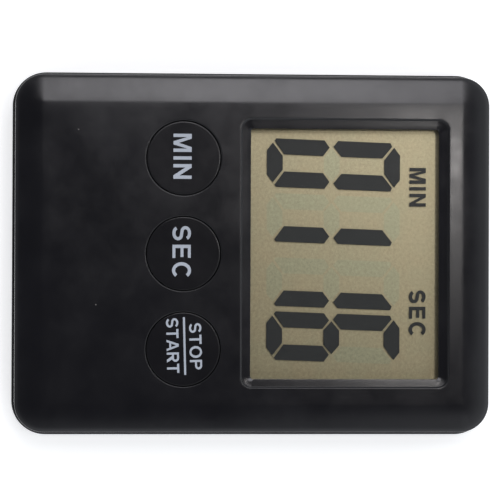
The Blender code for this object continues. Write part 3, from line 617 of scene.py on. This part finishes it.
def front_case(material):
    build = bmesh.new()
    outside = chain(build, [(case_outline(inset), z) for inset, z in outside_profile()])
    window = chain(build, [(bezel_outline(inset), z) for inset, z in bezel_profile()])
    tilt_ledge(window)
    holes = []
    for key in KEYS:
        place = key_place(key)
        rings = [(circle(BUTTON_HOLE_RADIUS + EDGE_MARGIN * BUTTON_HOLE_EDGE, place), FACE_Z)]
        for angle in range(0, 91, 18):
            turn = math.radians(angle)
            radius = BUTTON_HOLE_RADIUS + BUTTON_HOLE_EDGE * (1 - math.sin(turn))
            rings.append((circle(radius, place), FACE_Z - BUTTON_HOLE_EDGE * (1 - math.cos(turn))))
        rings.append((circle(BUTTON_HOLE_RADIUS, place), ROOF_Z))
        holes.append(chain(build, rings))
    wall = RIM_STEP + WALL
    fillet, third = 0.0009, 0.0003
    inner = [(wall, FRONT_LOW.z), (wall, ROOF_Z - fillet)]
    inner += [(wall + third, ROOF_Z - third), (wall + fillet, ROOF_Z)]
    inside = chain(build, [(case_outline(inset), z) for inset, z in inner])
    bridge(build, inside[0], outside[0])
    cap(build, outside[-1], window[0], *[rings[0] for rings in holes])
    cap(build, inside[-1], window[-1], *[rings[-1] for rings in holes])
    for vertex in build.verts:
        ripple(vertex)
    return give(finish_mesh(build, "front_shell"), "case", "black_plastic", material, "front_case")


# ---- the rear shell ----
def mouth(outline_at, depth, edge=0.00018):
    """Rings of a cutter for a recess in the back: a softened mouth, straight walls and a flat end."""
    rings = [(outline_at(-edge * 1.6), -0.0004), (outline_at(-edge), 0.0)]
    rings += [(outline_at(-edge * (1 - share)), edge * share * share) for share in (0.35, 0.7, 1.0)]
    return [*rings, (outline_at(0.0), depth)]


def round_mouth(name, place, radius, depth, sides=SMALL_SIDES):
    return loft(name, mouth(lambda inset: circle(radius - inset, place, sides), depth))


def rear_additions():
    """The walls, door frame, cell cup, bosses and standoffs inside the shell."""
    pocket_low = (STAND_LOW.x - 0.0007, STAND_LOW.y - 0.0018, INSIDE_Z)
    pocket_high = (STAND_HIGH.x + 0.0007, STAND_HIGH.y + 0.0017, 0.0032)
    cell = middle(CELL_LOW, CELL_HIGH).xy
    tools = [
        block("pocket_walls", pocket_low, pocket_high),
        block("door_frame", (-0.0110, -0.0398, INSIDE_Z), (0.0110, -0.0213, 0.0026)),
        turned("cell_cup", cell, [(0.0070, 0.0020), (0.0070, REAR_HIGH.z)], 64),
    ]
    for name in ("magnet_left", "magnet_right"):
        place = middle(*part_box(name)).xy
        tools.append(turned(f"{name}_boss", place, [(0.0072, INSIDE_Z), (0.0072, 0.0028)], 64))
    for i in range(1, 5):
        place = middle(*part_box(f"case_screw_{i}")).xy
        tools.append(turned(f"standoff_{i}", place, [(0.0029, INSIDE_Z), (0.0029, 0.0029)], SMALL_SIDES))
    return tools


def rear_cutters():
    """The stand's pocket, the door's slot, the cell's bore and the round recesses and holes."""
    pocket_head_y = STAND_HIGH.y + STAND_CLEARANCE
    stand_half = (STAND_HIGH.x - PIN_LENGTH + STAND_CLEARANCE, (pocket_head_y - POCKET_FOOT_Y) / 2)
    stand_centre = (0.0, (pocket_head_y + POCKET_FOOT_Y) / 2)

    def pocket(inset):
        half = (stand_half[0] - inset, stand_half[1] - inset)
        return rounded_rectangle(half, 0.0006 - min(inset, 0.0003), stand_centre, 6)

    cell = middle(CELL_LOW, CELL_HIGH).xy
    side = DOOR_HIGH.x - DOOR_TONGUE + DOOR_CLEARANCE
    groove = DOOR_HIGH.x + DOOR_CLEARANCE
    end_y = DOOR_HIGH.y + DOOR_CLEARANCE
    past_y = REAR_LOW.y - PAST
    top = DOOR_HIGH.z + DOOR_CLEARANCE
    tools = [
        loft("stand_pocket", mouth(pocket, POCKET_DEPTH)),
        round_mouth("finger_notch", (0.0, pocket_head_y - 0.0028), 0.0042, 0.0015, 64),
        cross_bar("hinge_holes", *HINGE_HOLE),
        block("door_slot", (-side, past_y, -PAST), (side, end_y, top)),
        block("door_grooves", (-groove, past_y, 0.0007), (groove, end_y, top)),
        turned("cell_bore", cell, [(0.00595, 0.0010), (0.00595, 0.0075)], 64),
        block("positive_slot", (-0.0042, cell.y + 0.0040, 0.0028), (-0.0006, cell.y + 0.0075, 0.0054)),
        block("negative_slot", (0.0006, cell.y + 0.0040, 0.0069), (0.0042, cell.y + 0.0075, 0.0076)),
    ]
    for i in range(1, 5):
        place = middle(*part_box(f"case_screw_{i}")).xy
        tools.append(round_mouth(f"counterbore_{i}", place, 0.0021, 0.0012))
        tools.append(turned(f"screw_hole_{i}", place, [(0.0012, 0.0005), (0.0012, 0.0035)], 24))
    for name in ("magnet_left", "magnet_right"):
        place = middle(*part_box(name)).xy
        tools.append(round_mouth(f"{name}_pocket", place, 0.00612, 0.0018, 64))
    sounder = middle(*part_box("piezo_disc")).xy
    ring = [math.radians(60 * i) for i in range(6)]
    for i, (x, y) in enumerate([(0.0, 0.0)] + [(0.003 * math.cos(a), 0.003 * math.sin(a)) for a in ring]):
        tools.append(round_mouth(f"sound_hole_{i}", (sounder.x + x, sounder.y + y), 0.00065, 0.0020, 24))
    return tools


def rear_case(material):
    profile = [(BACK_EDGE * (1 - math.sin(t)), BACK_EDGE * (1 - math.cos(t))) for t in quarter_turn(10)]
    profile.append((0.0, SPLIT_Z - RIM_EDGE))
    profile += [
        (RIM_EDGE * (1 - math.cos(t)), SPLIT_Z - RIM_EDGE * (1 - math.sin(t)))
        for t in quarter_turn(5)[1:]
    ]
    shell = loft("rear_shell", [(case_outline(inset), z) for inset, z in profile])
    cavity_half = (REAR_HIGH.x - 0.0016, REAR_HIGH.y - 0.0016)
    carve(shell, plate("rear_cavity", rounded_rectangle(cavity_half, 0.0042), FLOOR_Z, 0.0035))
    fuse(shell, *rear_additions())
    carve(shell, *rear_cutters())
    return give(shade(shell, 32), "case", "black_plastic", material, "rear_case")


def quarter_turn(steps):
    return [math.pi / 2 * i / steps for i in range(steps + 1)]


# ---- buttons ----
def button(key, material):
    place = key_place(key)
    low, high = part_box(f"{key}_button")
    gate = math.radians(GATE_MARK_ANGLES[key])

    def rim(radius, notched):
        """A circle with the small dent where the moulding was cut from its gate."""
        points = circle(radius, place)
        if notched:
            for i, point in enumerate(points):
                away = (i * 2 * math.pi / len(points) - gate + math.pi) % (2 * math.pi) - math.pi
                dent = GATE_DENT * math.exp(-((away / GATE_SPREAD) ** 2))
                points[i] = place + (point - place) * (1 - dent)
        return points

    under, over = FLANGE_Z
    rings = [(rim(radius, False), z) for radius, z in (
        (PLUNGER_RADIUS, low.z),
        (PLUNGER_RADIUS, BUTTON_HOLLOW_TOP),
        (BUTTON_HOLLOW_RADIUS, BUTTON_HOLLOW_TOP),
        (BUTTON_HOLLOW_RADIUS, under),
        (FLANGE_RADIUS - FLANGE_CHAMFER, under),
        (FLANGE_RADIUS, under + FLANGE_CHAMFER),
        (FLANGE_RADIUS, over),
        (BUTTON_RADIUS, over),
    )]
    rings += [
        (rim(BUTTON_RADIUS - BUTTON_EDGE * (1 - math.cos(t)), True), high.z - BUTTON_EDGE * (1 - math.sin(t)))
        for t in quarter_turn(6)
    ]
    rings.append((rim(BUTTON_RADIUS - EDGE_MARGIN * BUTTON_EDGE, False), high.z))
    return give(loft(f"{key}_cap", rings), f"{key}_key", "button_plastic", material, f"{key}_button")


def keypad(material):
    """The rubber sheet, and a dome under each button."""
    low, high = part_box("keypad_mat")
    sheet_top = low.z + 0.00065
    half = ((high.x - low.x) / 2, (high.y - low.y) / 2)
    outline = rounded_rectangle(half, 0.0020, middle(low, high).xy, 3)
    holes = [circle(DOME_RADIUS, key_place(key), SMALL_SIDES) for key in KEYS]
    sheet = raised("keypad_sheet", [outline, *holes], sheet_top - low.z, low.z)
    give(sheet, "case", "keypad_rubber", material, "keypad_mat")
    profile = [(0.0022, 0.00675), (0.0040, 0.0062), (0.0040, low.z)]
    profile += [(DOME_RADIUS, low.z), (DOME_RADIUS, sheet_top)]
    profile += [(0.0026, 0.00710), (0.0024, 0.00720), (0.0024, high.z - 0.0001), (0.0023, high.z)]
    for key in KEYS:
        place = key_place(key)
        dome = turned(f"{key}_dome", place, profile, SMALL_SIDES)
        give(dome, "case", "keypad_rubber", material, "keypad_mat")
        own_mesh(dome)


# ---- lettering ----
def ribbon(points, width):
    """The outline of a stroke of even width along a centre line."""
    left, right = [], []
    for i, point in enumerate(points):
        before = points[max(i - 1, 0)]
        after = points[min(i + 1, len(points) - 1)]
        way = (Vector(after) - Vector(before)).normalized()
        side = Vector((-way.y, way.x)) * width / 2
        left.append(Vector(point) + side)
        right.append(Vector(point) - side)
    return left + right[::-1]


def sweep(centre, radii, start, end, steps=14):
    """Points on an ellipse from one angle to another, in degrees."""
    angles = [math.radians(start + (end - start) * i / steps) for i in range(steps + 1)]
    return [(centre[0] + radii[0] * math.cos(a), centre[1] + radii[1] * math.sin(a)) for a in angles]


def glyph(letter, stem):
    """(width, outlines) of a plain bold capital, one unit high. A second outline is a hole."""
    s, h = stem, stem / 2
    if letter == "I":
        return s, [[(0, 0), (s, 0), (s, 1), (0, 1)]]
    if letter == "T":
        w, m = 0.74, 0.37
        outline = [(m - h, 0), (m + h, 0), (m + h, 1 - s), (w, 1 - s)]
        return w, [outline + [(w, 1), (0, 1), (0, 1 - s), (m - h, 1 - s)]]
    if letter == "E":
        w, bar = 0.70, s * 0.92
        outline = [(0, 0), (w, 0), (w, bar), (s, bar), (s, 0.44), (w - 0.05, 0.44), (w - 0.05, 0.44 + bar)]
        return w, [outline + [(s, 0.44 + bar), (s, 1 - bar), (w - 0.01, 1 - bar), (w - 0.01, 1), (0, 1)]]
    if letter == "N":
        w, k = 0.77, s * 1.05
        outline = [(0, 0), (s, 0), (s, 0.66), (w - k, 0), (w, 0), (w, 1)]
        return w, [outline + [(w - s, 1), (w - s, 0.34), (k, 1), (0, 1)]]
    if letter == "M":
        w, m, k = 0.95, 0.475, s * 1.45
        outline = [(0, 0), (s, 0), (s, 0.76), (m - h, 0), (m + h, 0)]
        outline += [(w - s, 0.76), (w - s, 0), (w, 0), (w, 1)]
        return w, [outline + [(w - k, 1), (m, 0.30), (k, 1), (0, 1)]]
    if letter == "A":
        w, m, k = 0.92, 0.46, s * 1.12
        rise = 0.22
        foot = k + rise * (m - k * 0.45) * 0.86
        outer = [(0, 0), (k, 0), (foot * 0.93, rise), (w - foot * 0.93, rise), (w - k, 0), (w, 0)]
        outer += [(m + k * 0.55, 1), (m - k * 0.55, 1)]
        return w, [outer, [(m - 0.15, rise + s * 0.9), (m + 0.15, rise + s * 0.9), (m, 0.78)]]
    if letter == "O":
        w = 0.94
        whole = sweep((w / 2, 0.5), (w / 2, 0.515), 0, 360, 40)[:-1]
        hole = sweep((w / 2, 0.5), (w / 2 - s * 1.08, 0.515 - s * 0.95), 0, 360, 40)[:-1]
        return w, [whole, hole]
    if letter == "C":
        w = 0.84
        radii = (w / 2 - h + 0.02, 0.515 - h * 0.95)
        return w, [ribbon(sweep((w / 2 + 0.01, 0.5), radii, 42, 318, 34), s)]
    if letter == "S":
        w, rx, ry = 0.76, 0.38 - h, 0.265 - h * 0.5
        top, low = (w / 2, 1.012 - h - ry), (w / 2, ry + h - 0.012)
        line = sweep(top, (rx, ry), 22, 232, 20) + sweep(low, (rx, ry), 52, -158, 20)
        return w, [ribbon(line, s * 0.97)]
    w = 0.76
    bowl = 0.29
    turn = (w - bowl, 1 - bowl)
    inside = sweep(turn, (bowl - s, bowl - s * 0.92), -90, 90, 12)
    hole = [(s, 1 - 2 * bowl + s * 0.92), *inside, (s, 1 - s * 0.92)]
    if letter == "P":
        outer = [(0, 0), (s, 0), (s, 1 - 2 * bowl)] + sweep(turn, (bowl, bowl), -90, 90, 18) + [(0, 1)]
        return w, [outer, hole]
    base = 1 - 2 * bowl
    leg = [(s, 0), (s, base), (s + 0.11, base), (w - s * 1.05, 0), (w + 0.05, 0), (w - 0.20, base + 0.02)]
    outer = [(0, 0), *leg, *sweep(turn, (bowl, bowl), -70, 90, 16), (0, 1)]
    return w + 0.04, [outer, hole]


def word_outlines(word, stem, gap):
    outlines, across = [], 0.0
    for letter in word:
        width, shapes = glyph(letter, stem)
        outlines += [[(x + across, y) for x, y in shape] for shape in shapes]
        across += width + gap
    return across - gap, outlines


def raised(name, outlines, thickness, low):
    """A thin solid from flat outlines, where an outline inside another is a hole."""
    curve = bpy.data.curves.new(name, "CURVE")
    curve.dimensions = "2D"
    curve.fill_mode = "BOTH"
    curve.extrude = thickness / 2
    for outline in outlines:
        spline = curve.splines.new("POLY")
        spline.points.add(len(outline) - 1)
        spline.use_cyclic_u = True
        for spot, (x, y) in zip(spline.points, outline):
            spot.co = (x, y, 0.0, 1.0)
    made = bpy.data.objects.new(name, curve)
    bpy.context.scene.collection.objects.link(made)
    mesh = evaluated_mesh(made)
    mesh.transform(Matrix.Translation((0, 0, low + thickness / 2)))
    bpy.data.objects.remove(made)
    build = bmesh.new()
    build.from_mesh(mesh)
    bmesh.ops.remove_doubles(build, verts=build.verts, dist=1e-7)
    return finish_mesh(build, name, 30)


def word(text, centre, height, width, stem=STEM, gap=0.23, tilt=0.0):
    """Outlines of a word at a place, fitted to its height and width."""
    full, outlines = word_outlines(text, stem, gap)
    turn = math.radians(tilt)
    placed = []
    for outline in outlines:
        points = []
        for x, y in outline:
            across, up = (x / full - 0.5) * width, (y - 0.5) * height
            points.append((
                centre[0] + across * math.cos(turn) - up * math.sin(turn),
                centre[1] + across * math.sin(turn) + up * math.cos(turn),
            ))
        placed.append(points)
    return placed


def lettering(material):
    """The print on the caps. The line between STOP and START is a letter I, stretched wide and low."""
    for key in KEYS:
        place = key_place(key)
        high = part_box(f"{key}_button")[1].z
        if key == "min":
            outlines = word("MIN", place + Vector((-0.00027, -0.00023)), 0.00308, 0.0076)
        elif key == "sec":
            outlines = word("SEC", place + Vector((-0.00023, -0.00032)), 0.00308, 0.0088)
        else:
            above, below = place + Vector((-0.00048, 0.00210)), place + Vector((-0.00060, -0.00176))
            outlines = word("STOP", above, 0.00205, 0.0078, gap=0.15, tilt=WORD_TILT)
            outlines += word("START", below, 0.00205, 0.0092, gap=0.12, tilt=WORD_TILT)
            outlines += word("I", place + Vector((-0.00053, 0.00024)), 0.00034, 0.0097, tilt=WORD_TILT)
        made = raised(f"{key}_lettering", outlines, PRINT_THICKNESS, high)
        give(made, f"{key}_key", "button_plastic", material)


# ---- the display ----
def segment_shapes():
    """Outlines of the seven segments about a digit's middle, in millimetres, before it is slanted."""
    bar = ((3.39, 10.36), (2.07, 11.37))
    upper = ((3.12, 0.0), (4.12, 0.77), (4.12, 9.74), (3.50, 10.02), (1.46, 8.36), (1.45, 1.34))
    lower = ((2.92, -0.68), (4.12, -1.56), (4.12, -9.77), (3.74, -10.07), (1.45, -8.43), (1.45, -1.80))
    inner = (1.18, 8.68)
    shapes = {
        "a": [bar[0], bar[1], (-2.07, 11.37), (-3.39, 10.36), (-inner[0], inner[1]), inner],
        "g": [(2.80, -0.26), (1.24, 1.06), (-1.24, 1.06), (-2.80, -0.26), (-1.24, -1.62), (1.24, -1.62)],
        "b": upper,
        "f": [(-x, y) for x, y in upper],
        "c": lower,
        "e": [(-x, y) for x, y in lower],
    }
    shapes["d"] = [(x, -y) for x, y in shapes["a"]]
    return shapes


def box_outline(low, high):
    half = (high - low).xy / 2
    return rounded_rectangle((half.x, half.y), 0.0002, middle(low, high).xy, 3)


def layered(node):
    low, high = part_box(node)
    return [(box_outline(low, high), low.z), (box_outline(low, high), high.z)]


def display(materials):
    """The segments, lit or faint, between a cover of glass and film and a back of glass and reflector."""
    lit = {"0": "abcdef", "1": "bc", "6": "acdefg"}
    shapes = segment_shapes()
    glass_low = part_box("lcd_front_glass")[0].z
    cover = loft("lcd_cover", layered("lcd_front_glass") + layered("lcd_front_polarizer"))
    give(cover, "case", "display_film", materials["display_film"], "lcd_front_glass", "lcd_front_polarizer")
    low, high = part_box("lcd_reflector")[0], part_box("lcd_rear_glass")[1]
    back = plate("lcd_back", box_outline(low, high), low.z, APPARENT_BACK_Z)
    give(back, "case", "reflector_film", materials["reflector_film"], "lcd_reflector", "lcd_rear_glass")
    segment_z = glass_low - SEGMENT_GAP - SEGMENT_THICKNESS
    off = []
    for name, figure, centre_x in DIGITS:
        on = []
        for part, corners in shapes.items():
            spots = [(x / 1000, y / 1000) for x, y in corners]
            outline = [(centre_x + x + y * DIGIT_SLANT, DIGIT_MIDDLE_Y + y) for x, y in spots]
            (on if part in lit[figure] else off).append(outline)
        made = raised(f"lcd_{name}", on, SEGMENT_THICKNESS, segment_z)
        give(made, "case", "display_film", materials["display_segment"])
    made = raised("lcd_unlit_segments", off, SEGMENT_THICKNESS, APPARENT_BACK_Z)
    give(made, "case", "reflector_film", materials["unlit_segment"])
    for name, text, centre_x, width in LABELS:
        outlines = word(text, (centre_x, LABEL_MIDDLE_Y), LABEL_HEIGHT, width, LABEL_STEM, gap=0.20)
        made = raised(f"lcd_{name}", outlines, SEGMENT_THICKNESS, segment_z)
        give(made, "case", "display_film", materials["display_segment"])


# ---- the back's moving and fastening pieces ----
def grip_cutters(name, reach, low, places):
    """Cross grooves for a finger, at places along Y."""
    return [
        block(
            f"{name}_{i}",
            (-reach, y - GRIP_HALF_WIDTH, -PAST),
            (reach, y + GRIP_HALF_WIDTH, low + GRIP_DEPTH),
        )
        for i, y in enumerate(places)
    ]


def stand(material):
    edge_y = STAND_LOW.y + HINGE_AXIS_INSET
    half = (STAND_HIGH.x - PIN_LENGTH, (STAND_HIGH.y - edge_y) / 2)
    centre = (0.0, (STAND_HIGH.y + edge_y) / 2)
    outline = rounded_rectangle(half, 0.0010, centre, 8)
    flap = plate("folding_stand", outline, STAND_LOW.z, STAND_HIGH.z)
    corner_fill = block(
        "corner_fill", (-half[0], edge_y, STAND_LOW.z), (half[0], edge_y + 0.002, STAND_HIGH.z)
    )
    thickness = STAND_HIGH.z - STAND_LOW.z
    barrel = cross_bar("barrel", half[0], edge_y, middle(STAND_LOW, STAND_HIGH).z, thickness / 2)
    fuse(flap, corner_fill, barrel)
    carve(flap, *grip_cutters("grip", 0.0050, STAND_LOW.z, (0.0110, 0.0125, 0.0140)))
    soften(flap, 0.00015)
    pins = cross_bar("pins", STAND_HIGH.x, edge_y, middle(STAND_LOW, STAND_HIGH).z, PIN_RADIUS)
    flap = fuse(flap, pins)
    return give(shade(flap), "stand", "black_plastic", material, "stand")


def battery_door(material):
    reach, half = DOOR_HIGH.x, DOOR_HIGH.x - DOOR_TONGUE
    door = block("sliding_door", (-half, DOOR_LOW.y, DOOR_LOW.z), (half, DOOR_HIGH.y, DOOR_HIGH.z))
    tongues_low = (-reach, DOOR_LOW.y + 0.0016, 0.00085)
    fuse(door, block("tongues", tongues_low, (reach, DOOR_HIGH.y, DOOR_HIGH.z)))
    past, far = 0.0010, DOOR_CHAMFER + 0.0010
    outline = [Vector(p) for p in ((-past, -past), (far, -past), (-past, far))]
    edge = plate("door_edge", outline, -0.02, 0.02)
    axes = Matrix(((0, 0, 1, 0), (1, 0, 0, DOOR_LOW.y), (0, 1, 0, DOOR_LOW.z), (0, 0, 0, 1)))
    edge.data.transform(axes)
    grips = grip_cutters("door_grip", 0.0045, DOOR_LOW.z, (-0.0330, -0.0345, -0.0360, -0.0375))
    arrow_outline = [Vector(p) for p in ((-0.0016, -0.0278), (0.0, -0.0300), (0.0016, -0.0278))]
    arrow = plate("door_arrow", arrow_outline, -PAST, DOOR_LOW.z + ARROW_DEPTH)
    carve(door, edge, arrow, *grips)
    return give(soften(door, 0.00010), "battery_door", "black_plastic", material, "battery_door")


def screw(name, head_radius, shank_radius, material):
    """A domed cross-recess screw that points up into the case."""
    low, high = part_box(name)
    place = middle(low, high).xy
    head_top = low.z + (0.00095 if name.startswith("case") else 0.00075)
    dome = [
        (head_radius * math.sin(t), low.z + 0.00045 * (1 - math.cos(t))) for t in quarter_turn(6)[1:]
    ]
    shank = [(head_radius, head_top), (shank_radius * 1.05, head_top)]
    pitch = 0.0005
    turns = int((high.z - shank_radius - head_top) / pitch)
    root = shank_radius * 0.82
    for i in range(turns):
        z = head_top + 0.0002 + i * pitch
        shank += [(root, z), (shank_radius, z + pitch * 0.35), (root, z + pitch * 0.7)]
    shank.append((shank_radius * 0.25, high.z))
    made = turned(f"{name}_body", place, [(head_radius * 0.12, low.z)] + dome + shank, 40)
    arm, width, deep = head_radius * 0.55, head_radius * 0.17, low.z + 0.0006
    start = low.z - 0.001
    cross = [
        block(slot, (place.x - x, place.y - y, start), (place.x + x, place.y + y, deep))
        for slot, x, y in (("slot_across", arm, width), ("slot_along", width, arm))
    ]
    carve(made, *cross)
    return give(shade(made, 30), "case", "steel", material, name)


def magnet(name, material):
    low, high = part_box(name)
    place, radius, edge = middle(low, high).xy, (high.x - low.x) / 2, 0.00022
    profile = [(radius - edge * (1 - math.sin(t)), low.z + edge * (1 - math.cos(t))) for t in quarter_turn(5)]
    profile.append((radius, high.z))
    return give(turned(f"{name}_disc", place, profile, 96), "case", "nickel", material, name)


def cell(material):
    low, high = CELL_LOW, CELL_HIGH
    place, radius = middle(low, high).xy, (high.x - low.x) / 2
    edge = 0.0003
    can = [(radius - edge * (1 - math.sin(t)), low.z + edge * (1 - math.cos(t))) for t in quarter_turn(5)]
    can += [(radius, high.z - 0.0008), (radius - 0.0002, high.z - 0.0005), (0.0053, high.z - 0.0004)]
    can += [(0.0050, high.z - 0.00045), (0.0048, high.z - 0.0003)]
    can += [(0.0046, high.z - 0.00005), (0.0044, high.z)]
    return give(turned("button_cell", place, can, 96), "case", "nickel", material, "battery_cell")


def carried_over(materials):
    """Every CAD node that shows as it is takes the finish of its slot in the record."""
    for subpart in frame["record"]["subparts"]:
        node = frame["nodes"][subpart["node"]]
        if node.hide_render or subpart["material_slot"] not in materials:
            continue
        for spot in node.material_slots:
            spot.material = materials[subpart["material_slot"]]


# ---- studio ----
def area_light(name, place, size, aim, power, colour):
    lamp = bpy.data.lights.new(name, "AREA")
    lamp.shape = "RECTANGLE"
    lamp.size, lamp.size_y = size
    lamp.energy = power
    lamp.color = colour
    made = bpy.data.objects.new(name, lamp)
    made.location = place
    made.rotation_euler = (Vector(aim) - Vector(place)).to_track_quat("-Z", "Y").to_euler()
    bpy.context.scene.collection.objects.link(made)


def sky():
    """A studio with a dark ceiling and pale walls, brighter ahead of the timer and to its right."""
    world = bpy.data.worlds.new("studio")
    bpy.context.scene.world = world
    world.use_nodes = True
    tree = world.node_tree
    direction = add_node(tree, "ShaderNodeTexCoord").outputs["Generated"]
    flat = {0: direction, 1: (1.0, 1.0, 0.0)}
    level = add_node(tree, "ShaderNodeVectorMath", flat, operation="MULTIPLY").outputs[0]
    lean = add_node(tree, "ShaderNodeVectorMath", {0: level}, operation="LENGTH").outputs["Value"]
    ahead = {0: direction, 1: (0.55, 0.83, 0.0)}
    turn = add_node(tree, "ShaderNodeVectorMath", ahead, operation="DOT_PRODUCT").outputs["Value"]
    tilt = {0: turn, 1: 0.12, 2: lean}
    start = add_node(tree, "ShaderNodeMath", tilt, operation="MULTIPLY_ADD").outputs[0]
    rise = {"Value": start, "From Min": 0.38, "From Max": 0.82, "To Min": 0.02, "To Max": 1.0}
    ring = add_node(tree, "ShaderNodeMapRange", rise, interpolation_type="SMOOTHSTEP").outputs[0]
    side = {"Value": turn, "From Min": -0.8, "From Max": 0.5, "To Min": 0.65, "To Max": 1.30}
    power = add_node(tree, "ShaderNodeMapRange", side, interpolation_type="SMOOTHSTEP").outputs[0]
    strength = add_node(tree, "ShaderNodeMath", {0: ring, 1: power}, operation="MULTIPLY").outputs[0]
    background = tree.nodes["Background"]
    background.inputs["Color"].default_value = (0.93, 0.96, 1.0, 1.0)
    tree.links.new(strength, background.inputs["Strength"])


def studio():
    """The sky, the floor, and softboxes: (name, angles from straight up, angular size, radiance, colour)."""
    sky()
    softboxes = (
        ("side_softbox", (-24.8, 3.5), (23.0, 25.0), 4.4, (1.0, 0.98, 1.02)),
        ("top_softbox", (-4.5, 11.9), (4.5, 4.5), 21.5, (1.0, 0.96, 0.94)),
        ("corner_softbox", (24.2, 15.0), (9.0, 14.0), 0.5, (0.95, 0.97, 1.0)),
    )
    for name, angles, spread, radiance, colour in softboxes:
        tangents = [math.tan(math.radians(angle)) for angle in angles]
        place = SOFTBOX_HEIGHT * Vector((tangents[0], tangents[1], 1.0))
        size = [
            SOFTBOX_HEIGHT * math.radians(angle) * (1 + tan * tan)
            for angle, tan in zip(spread, tangents)
        ]
        power = radiance * math.pi * size[0] * size[1]
        area_light(name, place, size, (place.x, place.y, 0.0), power, colour)
    floor_low = (-FLOOR_REACH, -FLOOR_REACH, REAR_LOW.z - FLOOR_THICKNESS)
    floor = block("floor", floor_low, (FLOOR_REACH, FLOOR_REACH, REAR_LOW.z))
    surface = Surface("pale_floor")
    surface.link(surface.mix(surface.noise(3, 2.0), (0.90, 0.90, 0.90), (0.93, 0.93, 0.93)), "Base Color")
    surface.set(roughness=0.9)
    surface.shader.inputs["Emission Color"].default_value = (1.0, 1.0, 1.0, 1.0)
    surface.shader.inputs["Emission Strength"].default_value = FLOOR_GLOW
    floor.data.materials.append(surface.material)


def camera():
    """Nearly straight down from above the timer's lower half, the display's top to the picture's right."""
    lens = bpy.data.cameras.new("camera")
    lens.sensor_width = 36.0
    lens.lens = 148.75
    lens.clip_start = 0.01
    made = bpy.data.objects.new("camera", lens)
    forward = Vector((-0.0078, 0.0528, -0.9986)).normalized()
    up = Vector((-1.0, -0.0045, 0.0075))
    up = (up - forward * up.dot(forward)).normalized()
    right = forward.cross(up)
    turn = Matrix((right, up, -forward)).transposed()
    made.matrix_world = Matrix.Translation((0.00208, -0.01899, 0.35774)) @ turn.to_4x4()
    bpy.context.scene.collection.objects.link(made)
    bpy.context.scene.camera = made


def main():
    materials = make_materials()
    front_case(materials["black_plastic"])
    rear_case(materials["black_plastic"])
    for key in KEYS:
        button(key, materials["button_plastic"])
    keypad(materials["keypad_rubber"])
    lettering(materials["lettering"])
    display(materials)
    stand(materials["black_plastic"])
    battery_door(materials["black_plastic"])
    for i in range(1, 5):
        screw(f"case_screw_{i}", 0.0019, 0.00095, materials["steel"])
    for i in range(1, 7):
        screw(f"board_screw_{i}", 0.0015, 0.00070, materials["steel"])
    for name in ("magnet_left", "magnet_right"):
        magnet(name, materials["nickel"])
    cell(materials["nickel"])
    carried_over(materials)
    studio()
    camera()
    bpy.context.scene.view_settings.view_transform = "Standard"


main()
